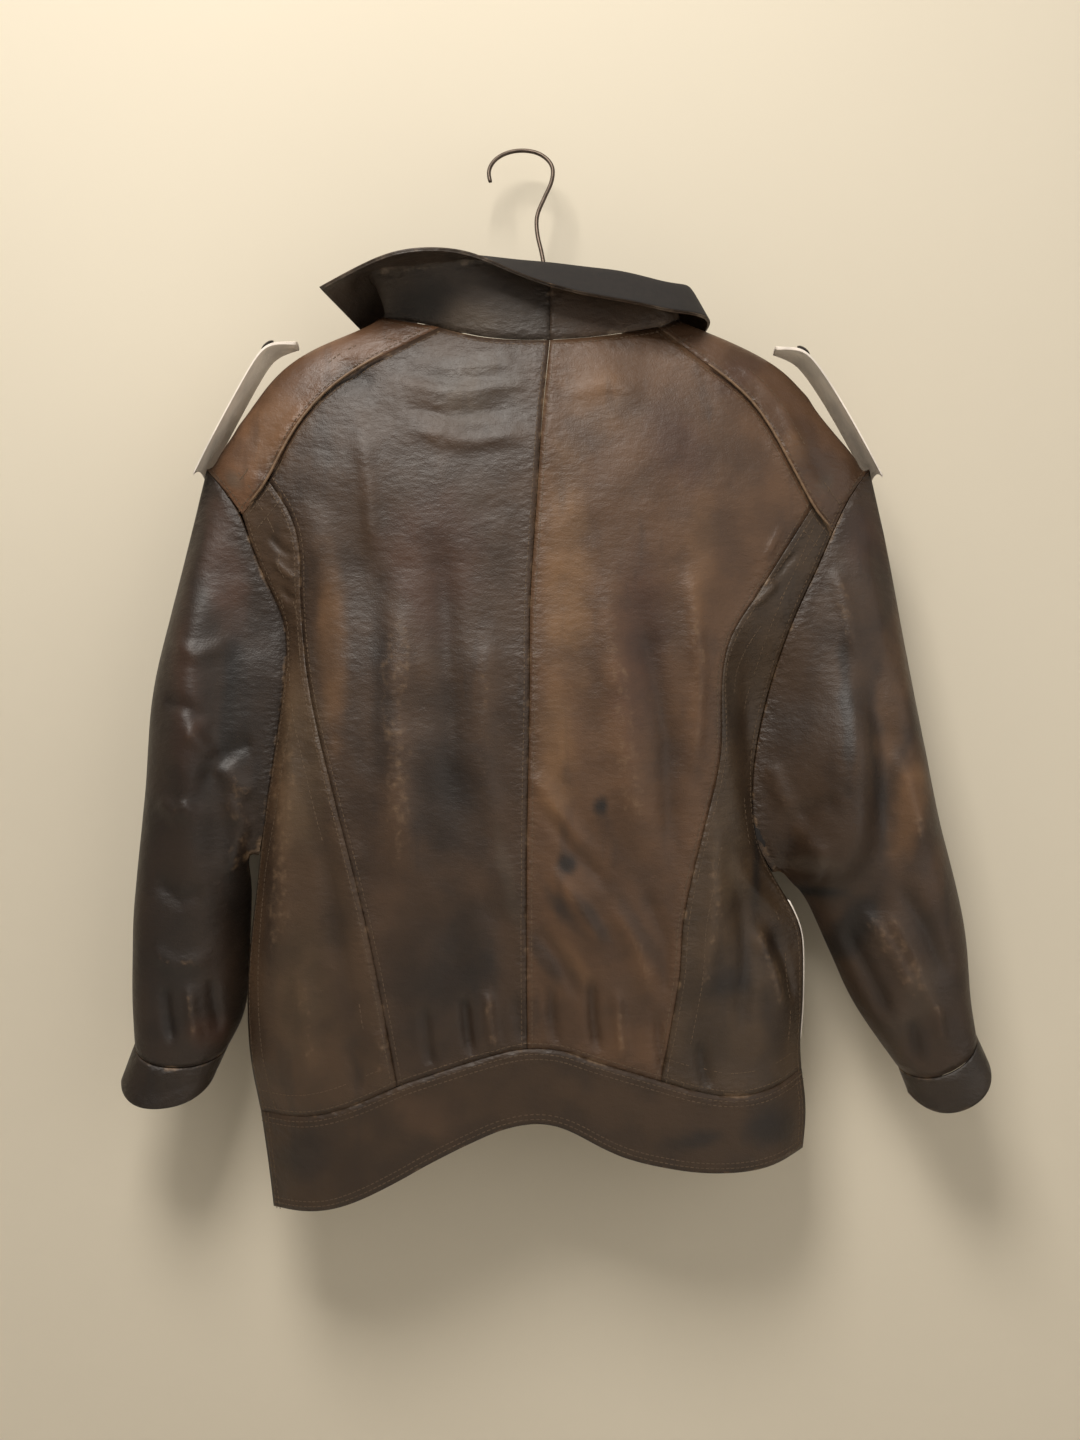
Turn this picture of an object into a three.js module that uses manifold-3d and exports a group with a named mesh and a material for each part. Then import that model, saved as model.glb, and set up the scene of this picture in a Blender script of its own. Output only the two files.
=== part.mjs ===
// A worn leather blouson on a plain hanger, hung by the hook, with its back to the viewer.
// Millimetres, +Z up. The origin is the inner top of the hook, where it rests on a nail.
// The jacket's back faces -Y and its closed front faces +Y. -X is its left as seen here.
//
// The body is one flattened tube of horizontal sections. A point on it has an angle phi
// and a height z: phi = 0 is the left edge, pi / 2 the centre back, pi the right edge and
// -pi / 2 or 3 pi / 2 the centre front. Each panel is a wall laid on that tube between its
// own seams, and each sleeve is a tube of fanned sections that starts at the armhole.

import * as THREE from "three";
import Module from "manifold-3d";
import { mergeVertices } from "three/addons/utils/BufferGeometryUtils.js";

// ---------------------------------------------------------------- driving dimensions

const LEATHER = 1.4;
const SEAM_INSET = 0.17;
const LAID_ON_GAP = 0.4;
const CENTRE_FRONT = 14;
const ZIP_OPENING = 9;
const ZIP_CHAIN_WIDTH = 6;
const ZIP_CHAIN_DEPTH = 2.4;
const ZIP_TAPE_WIDTH = 15;
const ZIP_TAPE_THICKNESS = 0.8;
const ZIP_TOP = -254;
const ARMHOLE_ROWS = 9;
const SIDE_SEAM_ROWS = 7;
const BODY_ROWS = ARMHOLE_ROWS + SIDE_SEAM_ROWS;
const YOKE_HALF_ROWS = 2;
const SLEEVE_ROWS = 15;
const BAND_ROWS = 2;
const CUFF_ROWS = 2;
const UNDERARM_LEFT = -585;
const UNDERARM_RIGHT = -600;
const PIPING_RADIUS = 1.3;
const PIPING_SIDES = 6;
const GIRTH_RADIUS = 200;
const RELAX_PASSES = 120;
const NORMAL_TURN = 0.012;
const NORMAL_RISE = 2.5;
const WIRE_RADIUS = 1.9;
const HANGER_CENTRE = [17.5, -42, -154];

// ---------------------------------------------------------------- small maths

const lerp = (a, b, t) => a + (b - a) * t;
const clamp = (v, low, high) => Math.min(high, Math.max(low, v));

// Rises from 0 at low to 1 at high; with high below low it falls instead.
function smoothstep(low, high, v) {
  const t = clamp((v - low) / (high - low), 0, 1);
  return t * t * (3 - 2 * t);
}

// A smooth curve through [place, value] pairs that never overshoots them.
function track(pairs) {
  const last = pairs.length - 1;
  const slopes = [];
  for (let i = 0; i < last; i += 1) {
    slopes.push((pairs[i + 1][1] - pairs[i][1]) / (pairs[i + 1][0] - pairs[i][0]));
  }
  const tangents = [slopes[0]];
  for (let i = 1; i < last; i += 1) {
    const product = slopes[i - 1] * slopes[i];
    tangents.push(product <= 0 ? 0 : (2 * product) / (slopes[i - 1] + slopes[i]));
  }
  tangents.push(slopes[last - 1]);
  return (place) => {
    const at = clamp(place, pairs[0][0], pairs[last][0]);
    let i = 0;
    while (i < last - 1 && at > pairs[i + 1][0]) {
      i += 1;
    }
    const span = pairs[i + 1][0] - pairs[i][0];
    const t = (at - pairs[i][0]) / span;
    const rest = 1 - t;
    return (
      pairs[i][1] * (1 + 2 * t) * rest * rest +
      tangents[i] * span * t * rest * rest +
      pairs[i + 1][1] * t * t * (3 - 2 * t) +
      tangents[i + 1] * span * t * t * (t - 1)
    );
  };
}

// Tracks for every field of a list of stations, keyed on one of the fields.
function stationTracks(stations, key) {
  const tracks = {};
  for (const field of Object.keys(stations[0])) {
    if (field !== key) {
      tracks[field] = track(stations.map((station) => [station[key], station[field]]));
    }
  }
  return (place) => {
    const values = {};
    for (const field of Object.keys(tracks)) {
      values[field] = tracks[field](place);
    }
    return values;
  };
}

// ---------------------------------------------------------------- folds in the cloth

// The signed distance of a point from a line of [x, z] points, positive on its right
// going down, and how far along the line the nearest point is, from 0 to 1.
function fromLine(x, z, line) {
  let best = { away: Infinity, signed: 0, along: 0 };
  let travelled = 0;
  let total = 0;
  for (let i = 0; i < line.length - 1; i += 1) {
    total += Math.hypot(line[i + 1][0] - line[i][0], line[i + 1][1] - line[i][1]);
  }
  for (let i = 0; i < line.length - 1; i += 1) {
    const dx = line[i + 1][0] - line[i][0];
    const dz = line[i + 1][1] - line[i][1];
    const length = Math.hypot(dx, dz);
    const t = clamp(((x - line[i][0]) * dx + (z - line[i][1]) * dz) / (length * length), 0, 1);
    const ox = x - line[i][0] - t * dx;
    const oz = z - line[i][1] - t * dz;
    const away = Math.hypot(ox, oz);
    if (away < best.away) {
      const side = dx * oz - dz * ox >= 0 ? 1 : -1;
      best = { away, signed: side * away, along: (travelled + t * length) / total };
    }
    travelled += length;
  }
  return best;
}

// A soft ridge (height above 0) or trough (below 0) along a line, fading at its ends.
function crease(x, z, { line, width, height }) {
  const { away, along } = fromLine(x, z, line);
  const ends = smoothstep(0, 0.2, along) * smoothstep(0, 0.25, 1 - along);
  return height * Math.exp(-((away / width) ** 2)) * ends;
}

const BACK_CREASES = [
  { line: [[-166, -235], [-160, -330], [-150, -430], [-144, -520]], width: 13, height: 7 },
  { line: [[-148, -227], [-138, -327], [-128, -427], [-127, -510]], width: 9, height: -6 },
  { line: [[190, -277], [172, -327], [164, -370]], width: 11, height: 6 },
  { line: [[171, -286], [164, -346], [157, -406]], width: 8, height: -6 },
  { line: [[152, -340], [145, -357], [136, -437]], width: 10, height: 5 },
  { line: [[-8, -560], [-27, -630], [-34, -690]], width: 11, height: 7 },
  { line: [[-2, -590], [-15, -619], [-29, -690]], width: 10, height: -8 },
  { line: [[-44, -625], [-56, -665], [-62, -690]], width: 9, height: -5 },
  { line: [[30, -590], [52, -650], [62, -700]], width: 16, height: 4 },
];

const FRONT_CREASES = [
  { line: [[-120, -330], [-95, -470], [-80, -620]], width: 16, height: 4 },
  { line: [[150, -340], [120, -480], [100, -640]], width: 16, height: 4 },
];

const LEFT_SLEEVE_CREASES = [
  { line: [[-259, -340], [-266, -500], [-262, -600], [-246, -690]], width: 13, height: 6 },
  { line: [[-228, -370], [-243, -500], [-240, -610]], width: 10, height: -8 },
  { line: [[-296, -690], [-270, -712], [-246, -716]], width: 10, height: 5 },
];

const RIGHT_SLEEVE_CREASES = [
  { line: [[300, -420], [312, -500], [322, -590], [330, -680]], width: 15, height: 5 },
  { line: [[274, -380], [276, -450], [282, -560], [286, -640]], width: 9, height: -7 },
];

// The back's right side drops behind a long standing fold that starts under the yoke.
const STANDING_FOLD = [
  [164, -400], [165, -440], [169, -476], [176, -529], [183, -570], [184, -640], [196, -662], [212, -715],
];
const STANDING_FOLD_SHARE = 0.66;
const STANDING_FOLD_WIDTH = 7;

// The right sleeve bags out under the arm in a pouch that overhangs the lower sleeve.
const POUCH_EDGE = [
  [186, -604], [225, -607], [254, -602], [267, -580], [273, -540], [272, -490], [266, -430],
];
const POUCH_HEIGHT = 16;
const POUCH_EDGE_WIDTH = 7;
const POUCH_FADE = 60;

function sumCreases(creases, x, z) {
  return creases.reduce((total, one) => total + crease(x, z, one), 0);
}

function standingFold(x, z) {
  const { signed, along } = fromLine(x, z, STANDING_FOLD);
  const ends = smoothstep(0, 0.18, along) * smoothstep(0, 0.16, 1 - along);
  return 1 - STANDING_FOLD_SHARE * ends * smoothstep(-STANDING_FOLD_WIDTH, STANDING_FOLD_WIDTH, signed);
}

function pouch(x, z) {
  const { signed, along } = fromLine(x, z, POUCH_EDGE);
  const ends = smoothstep(0, 0.08, along) * smoothstep(0, 0.3, 1 - along);
  return POUCH_HEIGHT * ends * smoothstep(-POUCH_EDGE_WIDTH, POUCH_EDGE_WIDTH, signed) * Math.exp(-((signed / POUCH_FADE) ** 2));
}

// ---------------------------------------------------------------- the body tube

// Horizontal sections: the x of both edges, their y, how far the back and the front stand
// off the line between them, and how square each edge is (2 is an ellipse).
const BODY_SECTIONS = stationTracks(
  [
    { z: -880, left: -201, right: 222, leftY: -48, rightY: -44, back: 42, front: 44, squareL: 2.6, squareR: 2.6 },
    { z: -826, left: -207, right: 225, leftY: -50, rightY: -44, back: 43, front: 46, squareL: 2.8, squareR: 2.8 },
    { z: -790, left: -212, right: 229, leftY: -52, rightY: -44, back: 44, front: 47, squareL: 3, squareR: 3 },
    { z: -742, left: -221, right: 223, leftY: -56, rightY: -42, back: 45, front: 49, squareL: 3.2, squareR: 3 },
    { z: -700, left: -222, right: 226, leftY: -58, rightY: -42, back: 47, front: 50, squareL: 3.4, squareR: 3 },
    { z: -650, left: -219, right: 226, leftY: -58, rightY: -42, back: 50, front: 50, squareL: 3.5, squareR: 3.2 },
    { z: -618, left: -215, right: 212, leftY: -58, rightY: -42, back: 52, front: 50, squareL: 3.5, squareR: 3.4 },
    { z: -600, left: -213, right: 200, leftY: -58, rightY: -42, back: 52, front: 50, squareL: 3.5, squareR: 3.6 },
    { z: -560, left: -209, right: 196, leftY: -58, rightY: -42, back: 53, front: 49, squareL: 3.5, squareR: 3.8 },
    { z: -510, left: -203, right: 199, leftY: -56, rightY: -42, back: 53, front: 49, squareL: 3.4, squareR: 3.6 },
    { z: -470, left: -197, right: 207, leftY: -54, rightY: -42, back: 52, front: 48, squareL: 3.2, squareR: 3.2 },
    { z: -433, left: -193, right: 218, leftY: -52, rightY: -42, back: 51, front: 47, squareL: 3, squareR: 2.9 },
    { z: -405, left: -192, right: 229, leftY: -49, rightY: -42, back: 49, front: 45, squareL: 2.8, squareR: 2.7 },
    { z: -367, left: -214, right: 245, leftY: -45, rightY: -42, back: 47, front: 43, squareL: 2.6, squareR: 2.6 },
    { z: -325, left: -237, right: 263, leftY: -43, rightY: -42, back: 45, front: 41, squareL: 2.5, squareR: 2.5 },
    { z: -290, left: -253, right: 277, leftY: -42, rightY: -42, back: 42, front: 38, squareL: 2.4, squareR: 2.4 },
    { z: -273, left: -258, right: 280, leftY: -42, rightY: -42, back: 40, front: 36, squareL: 2.4, squareR: 2.4 },
    { z: -245, left: -241, right: 258, leftY: -42, rightY: -42, back: 36, front: 33, squareL: 2.3, squareR: 2.3 },
    { z: -215, left: -223, right: 236, leftY: -42, rightY: -42, back: 30, front: 28, squareL: 2.2, squareR: 2.2 },
    { z: -190, left: -206, right: 218, leftY: -42, rightY: -42, back: 25, front: 23, squareL: 2.2, squareR: 2.2 },
    { z: -174, left: -187, right: 191, leftY: -42, rightY: -42, back: 21, front: 19, squareL: 2.2, squareR: 2.2 },
    { z: -160, left: -148, right: 152, leftY: -42, rightY: -42, back: 16, front: 15, squareL: 2.2, squareR: 2.2 },
    { z: -149, left: -117, right: 127, leftY: -42, rightY: -42, back: 12, front: 11, squareL: 2.2, squareR: 2.2 },
    { z: -138, left: -85, right: 96, leftY: -42, rightY: -42, back: 8, front: 7, squareL: 2.2, squareR: 2.2 },
  ],
  "z",
);

function body(phi, z) {
  const section = BODY_SECTIONS(z);
  const across = Math.cos(phi);
  const share = (1 - across) / 2;
  const square = across > 0 ? section.squareL : section.squareR;
  const bulge = Math.sqrt(Math.max(0, 1 - Math.abs(across) ** square));
  const x = lerp(section.left, section.right, share);
  const edgeY = lerp(section.leftY, section.rightY, share);
  const creased = clamp(bulge * 2, 0, 1);
  if (Math.sin(phi) >= 0) {
    const lift = creased * sumCreases(BACK_CREASES, x, z);
    return new THREE.Vector3(x, edgeY - section.back * bulge * standingFold(x, z) - lift, z);
  }
  const lift = creased * sumCreases(FRONT_CREASES, x, z);
  return new THREE.Vector3(x, edgeY + section.front * bulge + lift, z);
}

// The angle at which the body reaches x at a height, on the back.
function backAngle(x, z) {
  const section = BODY_SECTIONS(z);
  return Math.acos(clamp(1 - (2 * (x - section.left)) / (section.right - section.left), -1, 1));
}

const onBack = (x, z) => [backAngle(x, z), z];
const onFrontLeft = (x, z) => [-backAngle(x, z), z];
const onFrontRight = (x, z) => [2 * Math.PI - backAngle(x, z), z];

// ---------------------------------------------------------------- seams on the body

// Samples of a smooth seam through [x, z] points, as [phi, z] on one face of the body.
function seam(points, count, face) {
  const curve = new THREE.SplineCurve(points.map(([x, z]) => new THREE.Vector2(x, z)));
  const samples = [];
  for (let i = 0; i <= count; i += 1) {
    const at = curve.getPointAt(i / count);
    samples.push(face(at.x, at.y));
  }
  return samples;
}

// Joins stretches of one edge, dropping the point they share.
function joined(...stretches) {
  return stretches.flatMap((stretch, index) => (index === 0 ? stretch : stretch.slice(1)));
}

function straightDown(phi, top, bottom, count) {
  const samples = [];
  for (let i = 0; i <= count; i += 1) {
    samples.push([phi, lerp(top, bottom, i / count)]);
  }
  return samples;
}

const reversed = (samples) => [...samples].reverse();

const LEFT_TIP = [-258, -273];
const LEFT_CORNER = [-225.5, -312];
const LEFT_YOKE_SPLIT = [-203, -286];
const LEFT_YOKE_NECK = [-68, -161];
const LEFT_NECK_POINT = [-117, -149];
const LEFT_FRONT_YOKE_NECK = [-88, -181];
const LEFT_BAND_SPLIT = [-98.5, -760.5];
const LEFT_BAND_TOP = -790;
const LEFT_HEM = -868;

const RIGHT_TIP = [280, -273];
const RIGHT_CORNER = [246.5, -325.5];
const RIGHT_YOKE_SPLIT = [229, -307];
const RIGHT_YOKE_NECK = [108, -160.5];
const RIGHT_NECK_POINT = [127, -149];
const RIGHT_FRONT_YOKE_NECK = [104, -179];
const RIGHT_BAND_SPLIT = [107, -758];
const RIGHT_BAND_TOP = -758;
const RIGHT_HEM = -822;

const BACK_NECK = [20.5, -172.5];
const FRONT_NECK = -236;
const BACK_BAND_TOP = [2.5, -731];
const BACK_HEM = [2.5, -790];
const FRONT_BAND_TOP = -742;
const FRONT_HEM = -801;

const YOKE_COLUMNS = 4;
const LEFT_SIDE_COLUMNS = 3;
const RIGHT_SIDE_COLUMNS = 4;
const NECK_COLUMNS = 3;

// The curves that both a panel and its neighbour follow, as [x, z] points.
const CURVES = {
  leftYokeInner: [LEFT_YOKE_NECK, [-150, -205], [-172, -225], [-188, -252], LEFT_YOKE_SPLIT],
  leftYokeOuter: [LEFT_YOKE_SPLIT, [-213, -298], LEFT_CORNER],
  leftArmholeTop: [LEFT_TIP, [-241, -291], LEFT_CORNER],
  leftArmhole: [
    LEFT_CORNER, [-217.5, -339], [-205.5, -367], [-193.5, -390],
    [-189.5, -405], [-190.5, -443], [-201.5, -524], [-211.5, UNDERARM_LEFT],
  ],
  leftPrincess: [
    LEFT_YOKE_SPLIT, [-185, -310], [-176.5, -329], [-177, -395], [-167, -459],
    [-148, -531], [-120.5, -640], LEFT_BAND_SPLIT,
  ],
  leftNeck: [LEFT_YOKE_NECK, [-48, -168], [-20, -172.5], BACK_NECK],
  leftNeckSide: [LEFT_NECK_POINT, [-98, -154.5], LEFT_YOKE_NECK],
  leftFrontNeckSide: [LEFT_NECK_POINT, [-104, -163], LEFT_FRONT_YOKE_NECK],
  leftFrontYoke: [LEFT_FRONT_YOKE_NECK, [-150, -228], [-190, -272], LEFT_CORNER],
  rightYokeInner: [RIGHT_YOKE_NECK, [151, -196.5], [181, -218], [194, -239], [210, -272], RIGHT_YOKE_SPLIT],
  rightYokeOuter: [RIGHT_YOKE_SPLIT, [238, -317], RIGHT_CORNER],
  rightArmholeTop: [RIGHT_TIP, [262, -293], RIGHT_CORNER],
  rightArmhole: [
    RIGHT_CORNER, [230.5, -362.5], [212, -399], [202, -433], [192, -470],
    [184.5, -510], [183, -550], [188, -582], [200, UNDERARM_RIGHT],
  ],
  rightPrincess: [
    RIGHT_YOKE_SPLIT, [193, -363], [171, -397], [157, -417], [155, -460], [155, -507],
    [144, -548], [124, -631], [122, -675], RIGHT_BAND_SPLIT,
  ],
  rightNeck: [BACK_NECK, [59, -169.5], [91, -164], RIGHT_YOKE_NECK],
  rightNeckSide: [RIGHT_NECK_POINT, [121, -154], RIGHT_YOKE_NECK],
  rightFrontNeckSide: [RIGHT_NECK_POINT, [117, -162], RIGHT_FRONT_YOKE_NECK],
  rightFrontYoke: [RIGHT_FRONT_YOKE_NECK, [165, -228], [208, -280], RIGHT_CORNER],
  centreBack: [
    BACK_NECK, [18, -198], [14, -238], [11, -288], [7, -347], [4.5, -387], [4.5, -460],
    [3, -532], [2, -620], BACK_BAND_TOP,
  ],
  leftSideBand: [[-212, LEFT_BAND_TOP], [-195, -793], [-174, -790.5], [-144, -782.5], LEFT_BAND_SPLIT],
  leftBand: [LEFT_BAND_SPLIT, [-46, -743], [-9, -732.5], BACK_BAND_TOP],
  rightBand: [BACK_BAND_TOP, [29, -732.5], [51, -740.5], RIGHT_BAND_SPLIT],
  rightSideBand: [RIGHT_BAND_SPLIT, [141, -769], [162, -773], [183, -773], [205, -767], [226, RIGHT_BAND_TOP]],
  leftHem: [
    [-202, LEFT_HEM], [-188, -865], [-171, -866], [-144, -859.5], [-111, -844],
    [-68, -819], [-17, -794.5], BACK_HEM,
  ],
  rightHem: [
    BACK_HEM, [15, -790], [31, -793], [58, -808.5], [77, -818], [112, -827],
    [141, -832], [178, -833], [202, -829], [225, RIGHT_HEM],
  ],
};

const frontLeftEdge = CENTRE_FRONT - ZIP_OPENING / 2;
const frontRightEdge = CENTRE_FRONT + ZIP_OPENING / 2;

CURVES.leftFrontNeck = [LEFT_FRONT_YOKE_NECK, [-60, -208], [-25, -228], [frontLeftEdge, FRONT_NECK]];
CURVES.rightFrontNeck = [RIGHT_FRONT_YOKE_NECK, [84, -204], [52, -226], [frontRightEdge, FRONT_NECK]];
CURVES.leftFrontBand = [[-212, LEFT_BAND_TOP], [-150, -783], [-60, -752], [frontLeftEdge, FRONT_BAND_TOP]];
CURVES.rightFrontBand = [[frontRightEdge, FRONT_BAND_TOP], [110, -757], [175, -763], [226, RIGHT_BAND_TOP]];
CURVES.leftFrontHem = [[-202, LEFT_HEM], [-150, -856], [-60, -818], [frontLeftEdge, FRONT_HEM]];
CURVES.rightFrontHem = [[frontRightEdge, FRONT_HEM], [110, -824], [175, -830], [225, RIGHT_HEM]];

// ---------------------------------------------------------------- walls

// The grid of [phi, z] places inside four edges. Top and bottom run left to right,
// left and right run top to bottom.
function coons(top, bottom, left, right) {
  const columns = top.length - 1;
  const rows = left.length - 1;
  const grid = [];
  for (let r = 0; r <= rows; r += 1) {
    const v = r / rows;
    const line = [];
    for (let c = 0; c <= columns; c += 1) {
      const u = c / columns;
      const place = [0, 1].map((k) => {
        const ruledDown = lerp(top[c][k], bottom[c][k], v);
        const ruledAcross = lerp(left[r][k], right[r][k], u);
        const corners = lerp(lerp(top[0][k], top[columns][k], u), lerp(bottom[0][k], bottom[columns][k], u), v);
        return ruledDown + ruledAcross - corners;
      });
      line.push(place);
    }
    grid.push(line);
  }
  return relaxed(grid);
}

// Spreads a grid's inner places evenly between its edges, so that no cell folds over near
// a sharp corner. It repeats the smoothing step for a grid of steady spacing.
function relaxed(grid) {
  const places = grid.map((line) => line.map(([phi, z]) => [phi * GIRTH_RADIUS, z]));
  for (let pass = 0; pass < RELAX_PASSES; pass += 1) {
    for (let r = 1; r < places.length - 1; r += 1) {
      for (let c = 1; c < places[0].length - 1; c += 1) {
        relaxPlace(places, r, c);
      }
    }
  }
  return places.map((line) => line.map(([arc, z]) => [arc / GIRTH_RADIUS, z]));
}

function relaxPlace(places, r, c) {
  const across = [0, 1].map((k) => (places[r][c + 1][k] - places[r][c - 1][k]) / 2);
  const down = [0, 1].map((k) => (places[r + 1][c][k] - places[r - 1][c][k]) / 2);
  const downSquare = down[0] ** 2 + down[1] ** 2;
  const acrossSquare = across[0] ** 2 + across[1] ** 2;
  const slant = across[0] * down[0] + across[1] * down[1];
  places[r][c] = [0, 1].map((k) => {
    const sides = places[r][c + 1][k] + places[r][c - 1][k];
    const ends = places[r + 1][c][k] + places[r - 1][c][k];
    const corners = places[r + 1][c + 1][k] - places[r + 1][c - 1][k] - places[r - 1][c + 1][k] + places[r - 1][c - 1][k];
    const spread = downSquare * sides + acrossSquare * ends - (slant * corners) / 2;
    return spread / (2 * (downSquare + acrossSquare));
  });
}

// The outward normal of a surface at a place, from nearby points on it.
function normalOn(surface, [turn, rise]) {
  const round = surface(turn + NORMAL_TURN, rise).sub(surface(turn - NORMAL_TURN, rise));
  const up = surface(turn, rise + NORMAL_RISE).sub(surface(turn, rise - NORMAL_RISE));
  return round.cross(up).normalize();
}

// Moves the rim of a grid of points inward, so that neighbours stay apart at the seam.
function insetRim(points, inset) {
  const rows = points.length - 1;
  const columns = points[0].length - 1;
  const moved = points.map((line) => line.map((point) => point.clone()));
  const pull = (r, c, towardR, towardC, alongA, alongB) => {
    const along = alongB.clone().sub(alongA).normalize();
    const inward = points[towardR][towardC].clone().sub(points[r][c]);
    inward.addScaledVector(along, -inward.dot(along)).normalize();
    moved[r][c].addScaledVector(inward, inset);
  };
  for (let r = 0; r <= rows; r += 1) {
    const up = points[Math.max(0, r - 1)];
    const down = points[Math.min(rows, r + 1)];
    pull(r, 0, r, 1, up[0], down[0]);
    pull(r, columns, r, columns - 1, up[columns], down[columns]);
  }
  for (let c = 0; c <= columns; c += 1) {
    const before = Math.max(0, c - 1);
    const after = Math.min(columns, c + 1);
    pull(0, c, 1, c, points[0][before], points[0][after]);
    pull(rows, c, rows - 1, c, points[rows][before], points[rows][after]);
  }
  return moved;
}

function volumeOf(positions, indices) {
  const corner = (i) => new THREE.Vector3(...positions.slice(3 * indices[i], 3 * indices[i] + 3));
  let volume = 0;
  for (let i = 0; i < indices.length; i += 3) {
    volume += corner(i).dot(corner(i + 1).cross(corner(i + 2))) / 6;
  }
  return volume;
}

function solidFrom(positions, indices) {
  const facing = volumeOf(positions, indices) > 0;
  const faces = facing ? indices : [...indices].reverse();
  const geometry = new THREE.BufferGeometry();
  geometry.setAttribute("position", new THREE.Float32BufferAttribute(positions, 3));
  geometry.setIndex(faces);
  return geometry;
}

// A closed wall between two grids of points. A grid that closes on itself, such as a
// cuff's, joins its last column to its first.
function wallBetween(outer, inner, closes = false) {
  const rows = outer.length - 1;
  const width = outer[0].length;
  const columns = closes ? width : width - 1;
  const positions = [];
  for (const grid of [outer, inner]) {
    for (const line of grid) {
      for (const point of line) {
        positions.push(point.x, point.y, point.z);
      }
    }
  }
  const place = (layer, r, c) => layer * (rows + 1) * width + r * width + (c % width);
  const indices = [];
  const quad = (a, b, c, d) => indices.push(a, b, c, a, c, d);
  for (let r = 0; r < rows; r += 1) {
    for (let c = 0; c < columns; c += 1) {
      quad(place(0, r, c), place(0, r, c + 1), place(0, r + 1, c + 1), place(0, r + 1, c));
      quad(place(1, r, c), place(1, r + 1, c), place(1, r + 1, c + 1), place(1, r, c + 1));
    }
  }
  for (let c = 0; c < columns; c += 1) {
    quad(place(0, 0, c + 1), place(0, 0, c), place(1, 0, c), place(1, 0, c + 1));
    quad(place(0, rows, c), place(0, rows, c + 1), place(1, rows, c + 1), place(1, rows, c));
  }
  if (!closes) {
    for (let r = 0; r < rows; r += 1) {
      quad(place(0, r, 0), place(0, r + 1, 0), place(1, r + 1, 0), place(1, r, 0));
      quad(place(0, r + 1, columns), place(0, r, columns), place(1, r, columns), place(1, r + 1, columns));
    }
  }
  return solidFrom(positions, indices);
}

// A wall on a grid of points, from one offset along the normals to another.
function wallOn(points, normals, from, to, closes = false) {
  const offset = (by) => points.map((line, r) => line.map((point, c) => (
    point.clone().addScaledVector(normals[r][c], by)
  )));
  return wallBetween(offset(to), offset(from), closes);
}

// A panel of the body: a grid of [phi, z] places made into a wall of leather.
function bodyPanel(places, from = -LEATHER, to = 0, inset = SEAM_INSET) {
  const points = places.map((line) => line.map(([phi, z]) => body(phi, z)));
  const normals = places.map((line) => line.map((place) => normalOn(body, place)));
  return wallOn(insetRim(points, inset), normals, from, to);
}

// ---------------------------------------------------------------- body panels

const leftArmholeBack = seam(CURVES.leftArmhole, ARMHOLE_ROWS, onBack);
leftArmholeBack[ARMHOLE_ROWS] = [0, UNDERARM_LEFT];
const leftArmholeFront = leftArmholeBack.map(([phi, z]) => [-phi, z]);
const leftSideSeam = straightDown(0, UNDERARM_LEFT, LEFT_BAND_TOP, SIDE_SEAM_ROWS);
const rightArmholeBack = seam(CURVES.rightArmhole, ARMHOLE_ROWS, onBack);
rightArmholeBack[ARMHOLE_ROWS] = [Math.PI, UNDERARM_RIGHT];
const rightArmholeFront = rightArmholeBack.map(([phi, z]) => [2 * Math.PI - phi, z]);
const rightSideSeam = straightDown(Math.PI, UNDERARM_RIGHT, RIGHT_BAND_TOP, SIDE_SEAM_ROWS);

const leftYokeInner = seam(CURVES.leftYokeInner, YOKE_COLUMNS, onBack);
const leftYokeOuter = seam(CURVES.leftYokeOuter, LEFT_SIDE_COLUMNS, onBack);
const rightYokeInner = seam(CURVES.rightYokeInner, YOKE_COLUMNS, onBack);
const rightYokeOuter = seam(CURVES.rightYokeOuter, RIGHT_SIDE_COLUMNS, onBack);
const leftPrincess = seam(CURVES.leftPrincess, BODY_ROWS, onBack);
const rightPrincess = seam(CURVES.rightPrincess, BODY_ROWS, onBack);
const centreBack = seam(CURVES.centreBack, BODY_ROWS, onBack);
const leftNeck = seam(CURVES.leftNeck, NECK_COLUMNS, onBack);
const rightNeck = seam(CURVES.rightNeck, NECK_COLUMNS, onBack);

const leftSideBand = seam(CURVES.leftSideBand, LEFT_SIDE_COLUMNS, onBack);
leftSideBand[0] = [0, LEFT_BAND_TOP];
const leftBand = seam(CURVES.leftBand, YOKE_COLUMNS + NECK_COLUMNS, onBack);
const rightBand = seam(CURVES.rightBand, YOKE_COLUMNS + NECK_COLUMNS, onBack);
const rightSideBand = seam(CURVES.rightSideBand, RIGHT_SIDE_COLUMNS, onBack);
rightSideBand[RIGHT_SIDE_COLUMNS] = [Math.PI, RIGHT_BAND_TOP];

const backLeft = coons(
  joined(reversed(leftYokeInner), leftNeck),
  leftBand,
  leftPrincess,
  centreBack,
);
const backRight = coons(
  joined(rightNeck, rightYokeInner),
  rightBand,
  centreBack,
  rightPrincess,
);
const sideBackLeft = coons(
  reversed(leftYokeOuter),
  leftSideBand,
  joined(leftArmholeBack, leftSideSeam),
  leftPrincess,
);
const sideBackRight = coons(
  rightYokeOuter,
  rightSideBand,
  rightPrincess,
  joined(rightArmholeBack, rightSideSeam),
);

// A yoke wraps over the shoulder: its rows run from the back seam over the ridge to the
// front seam, and its columns from the neck to the armhole.
function yokePlaces(backSeam, frontSeam, neckSide, frontNeckSide, armTop, frontArmTop) {
  return coons(
    backSeam,
    frontSeam,
    joined(reversed(neckSide), frontNeckSide),
    joined(reversed(armTop), frontArmTop),
  );
}

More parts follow.
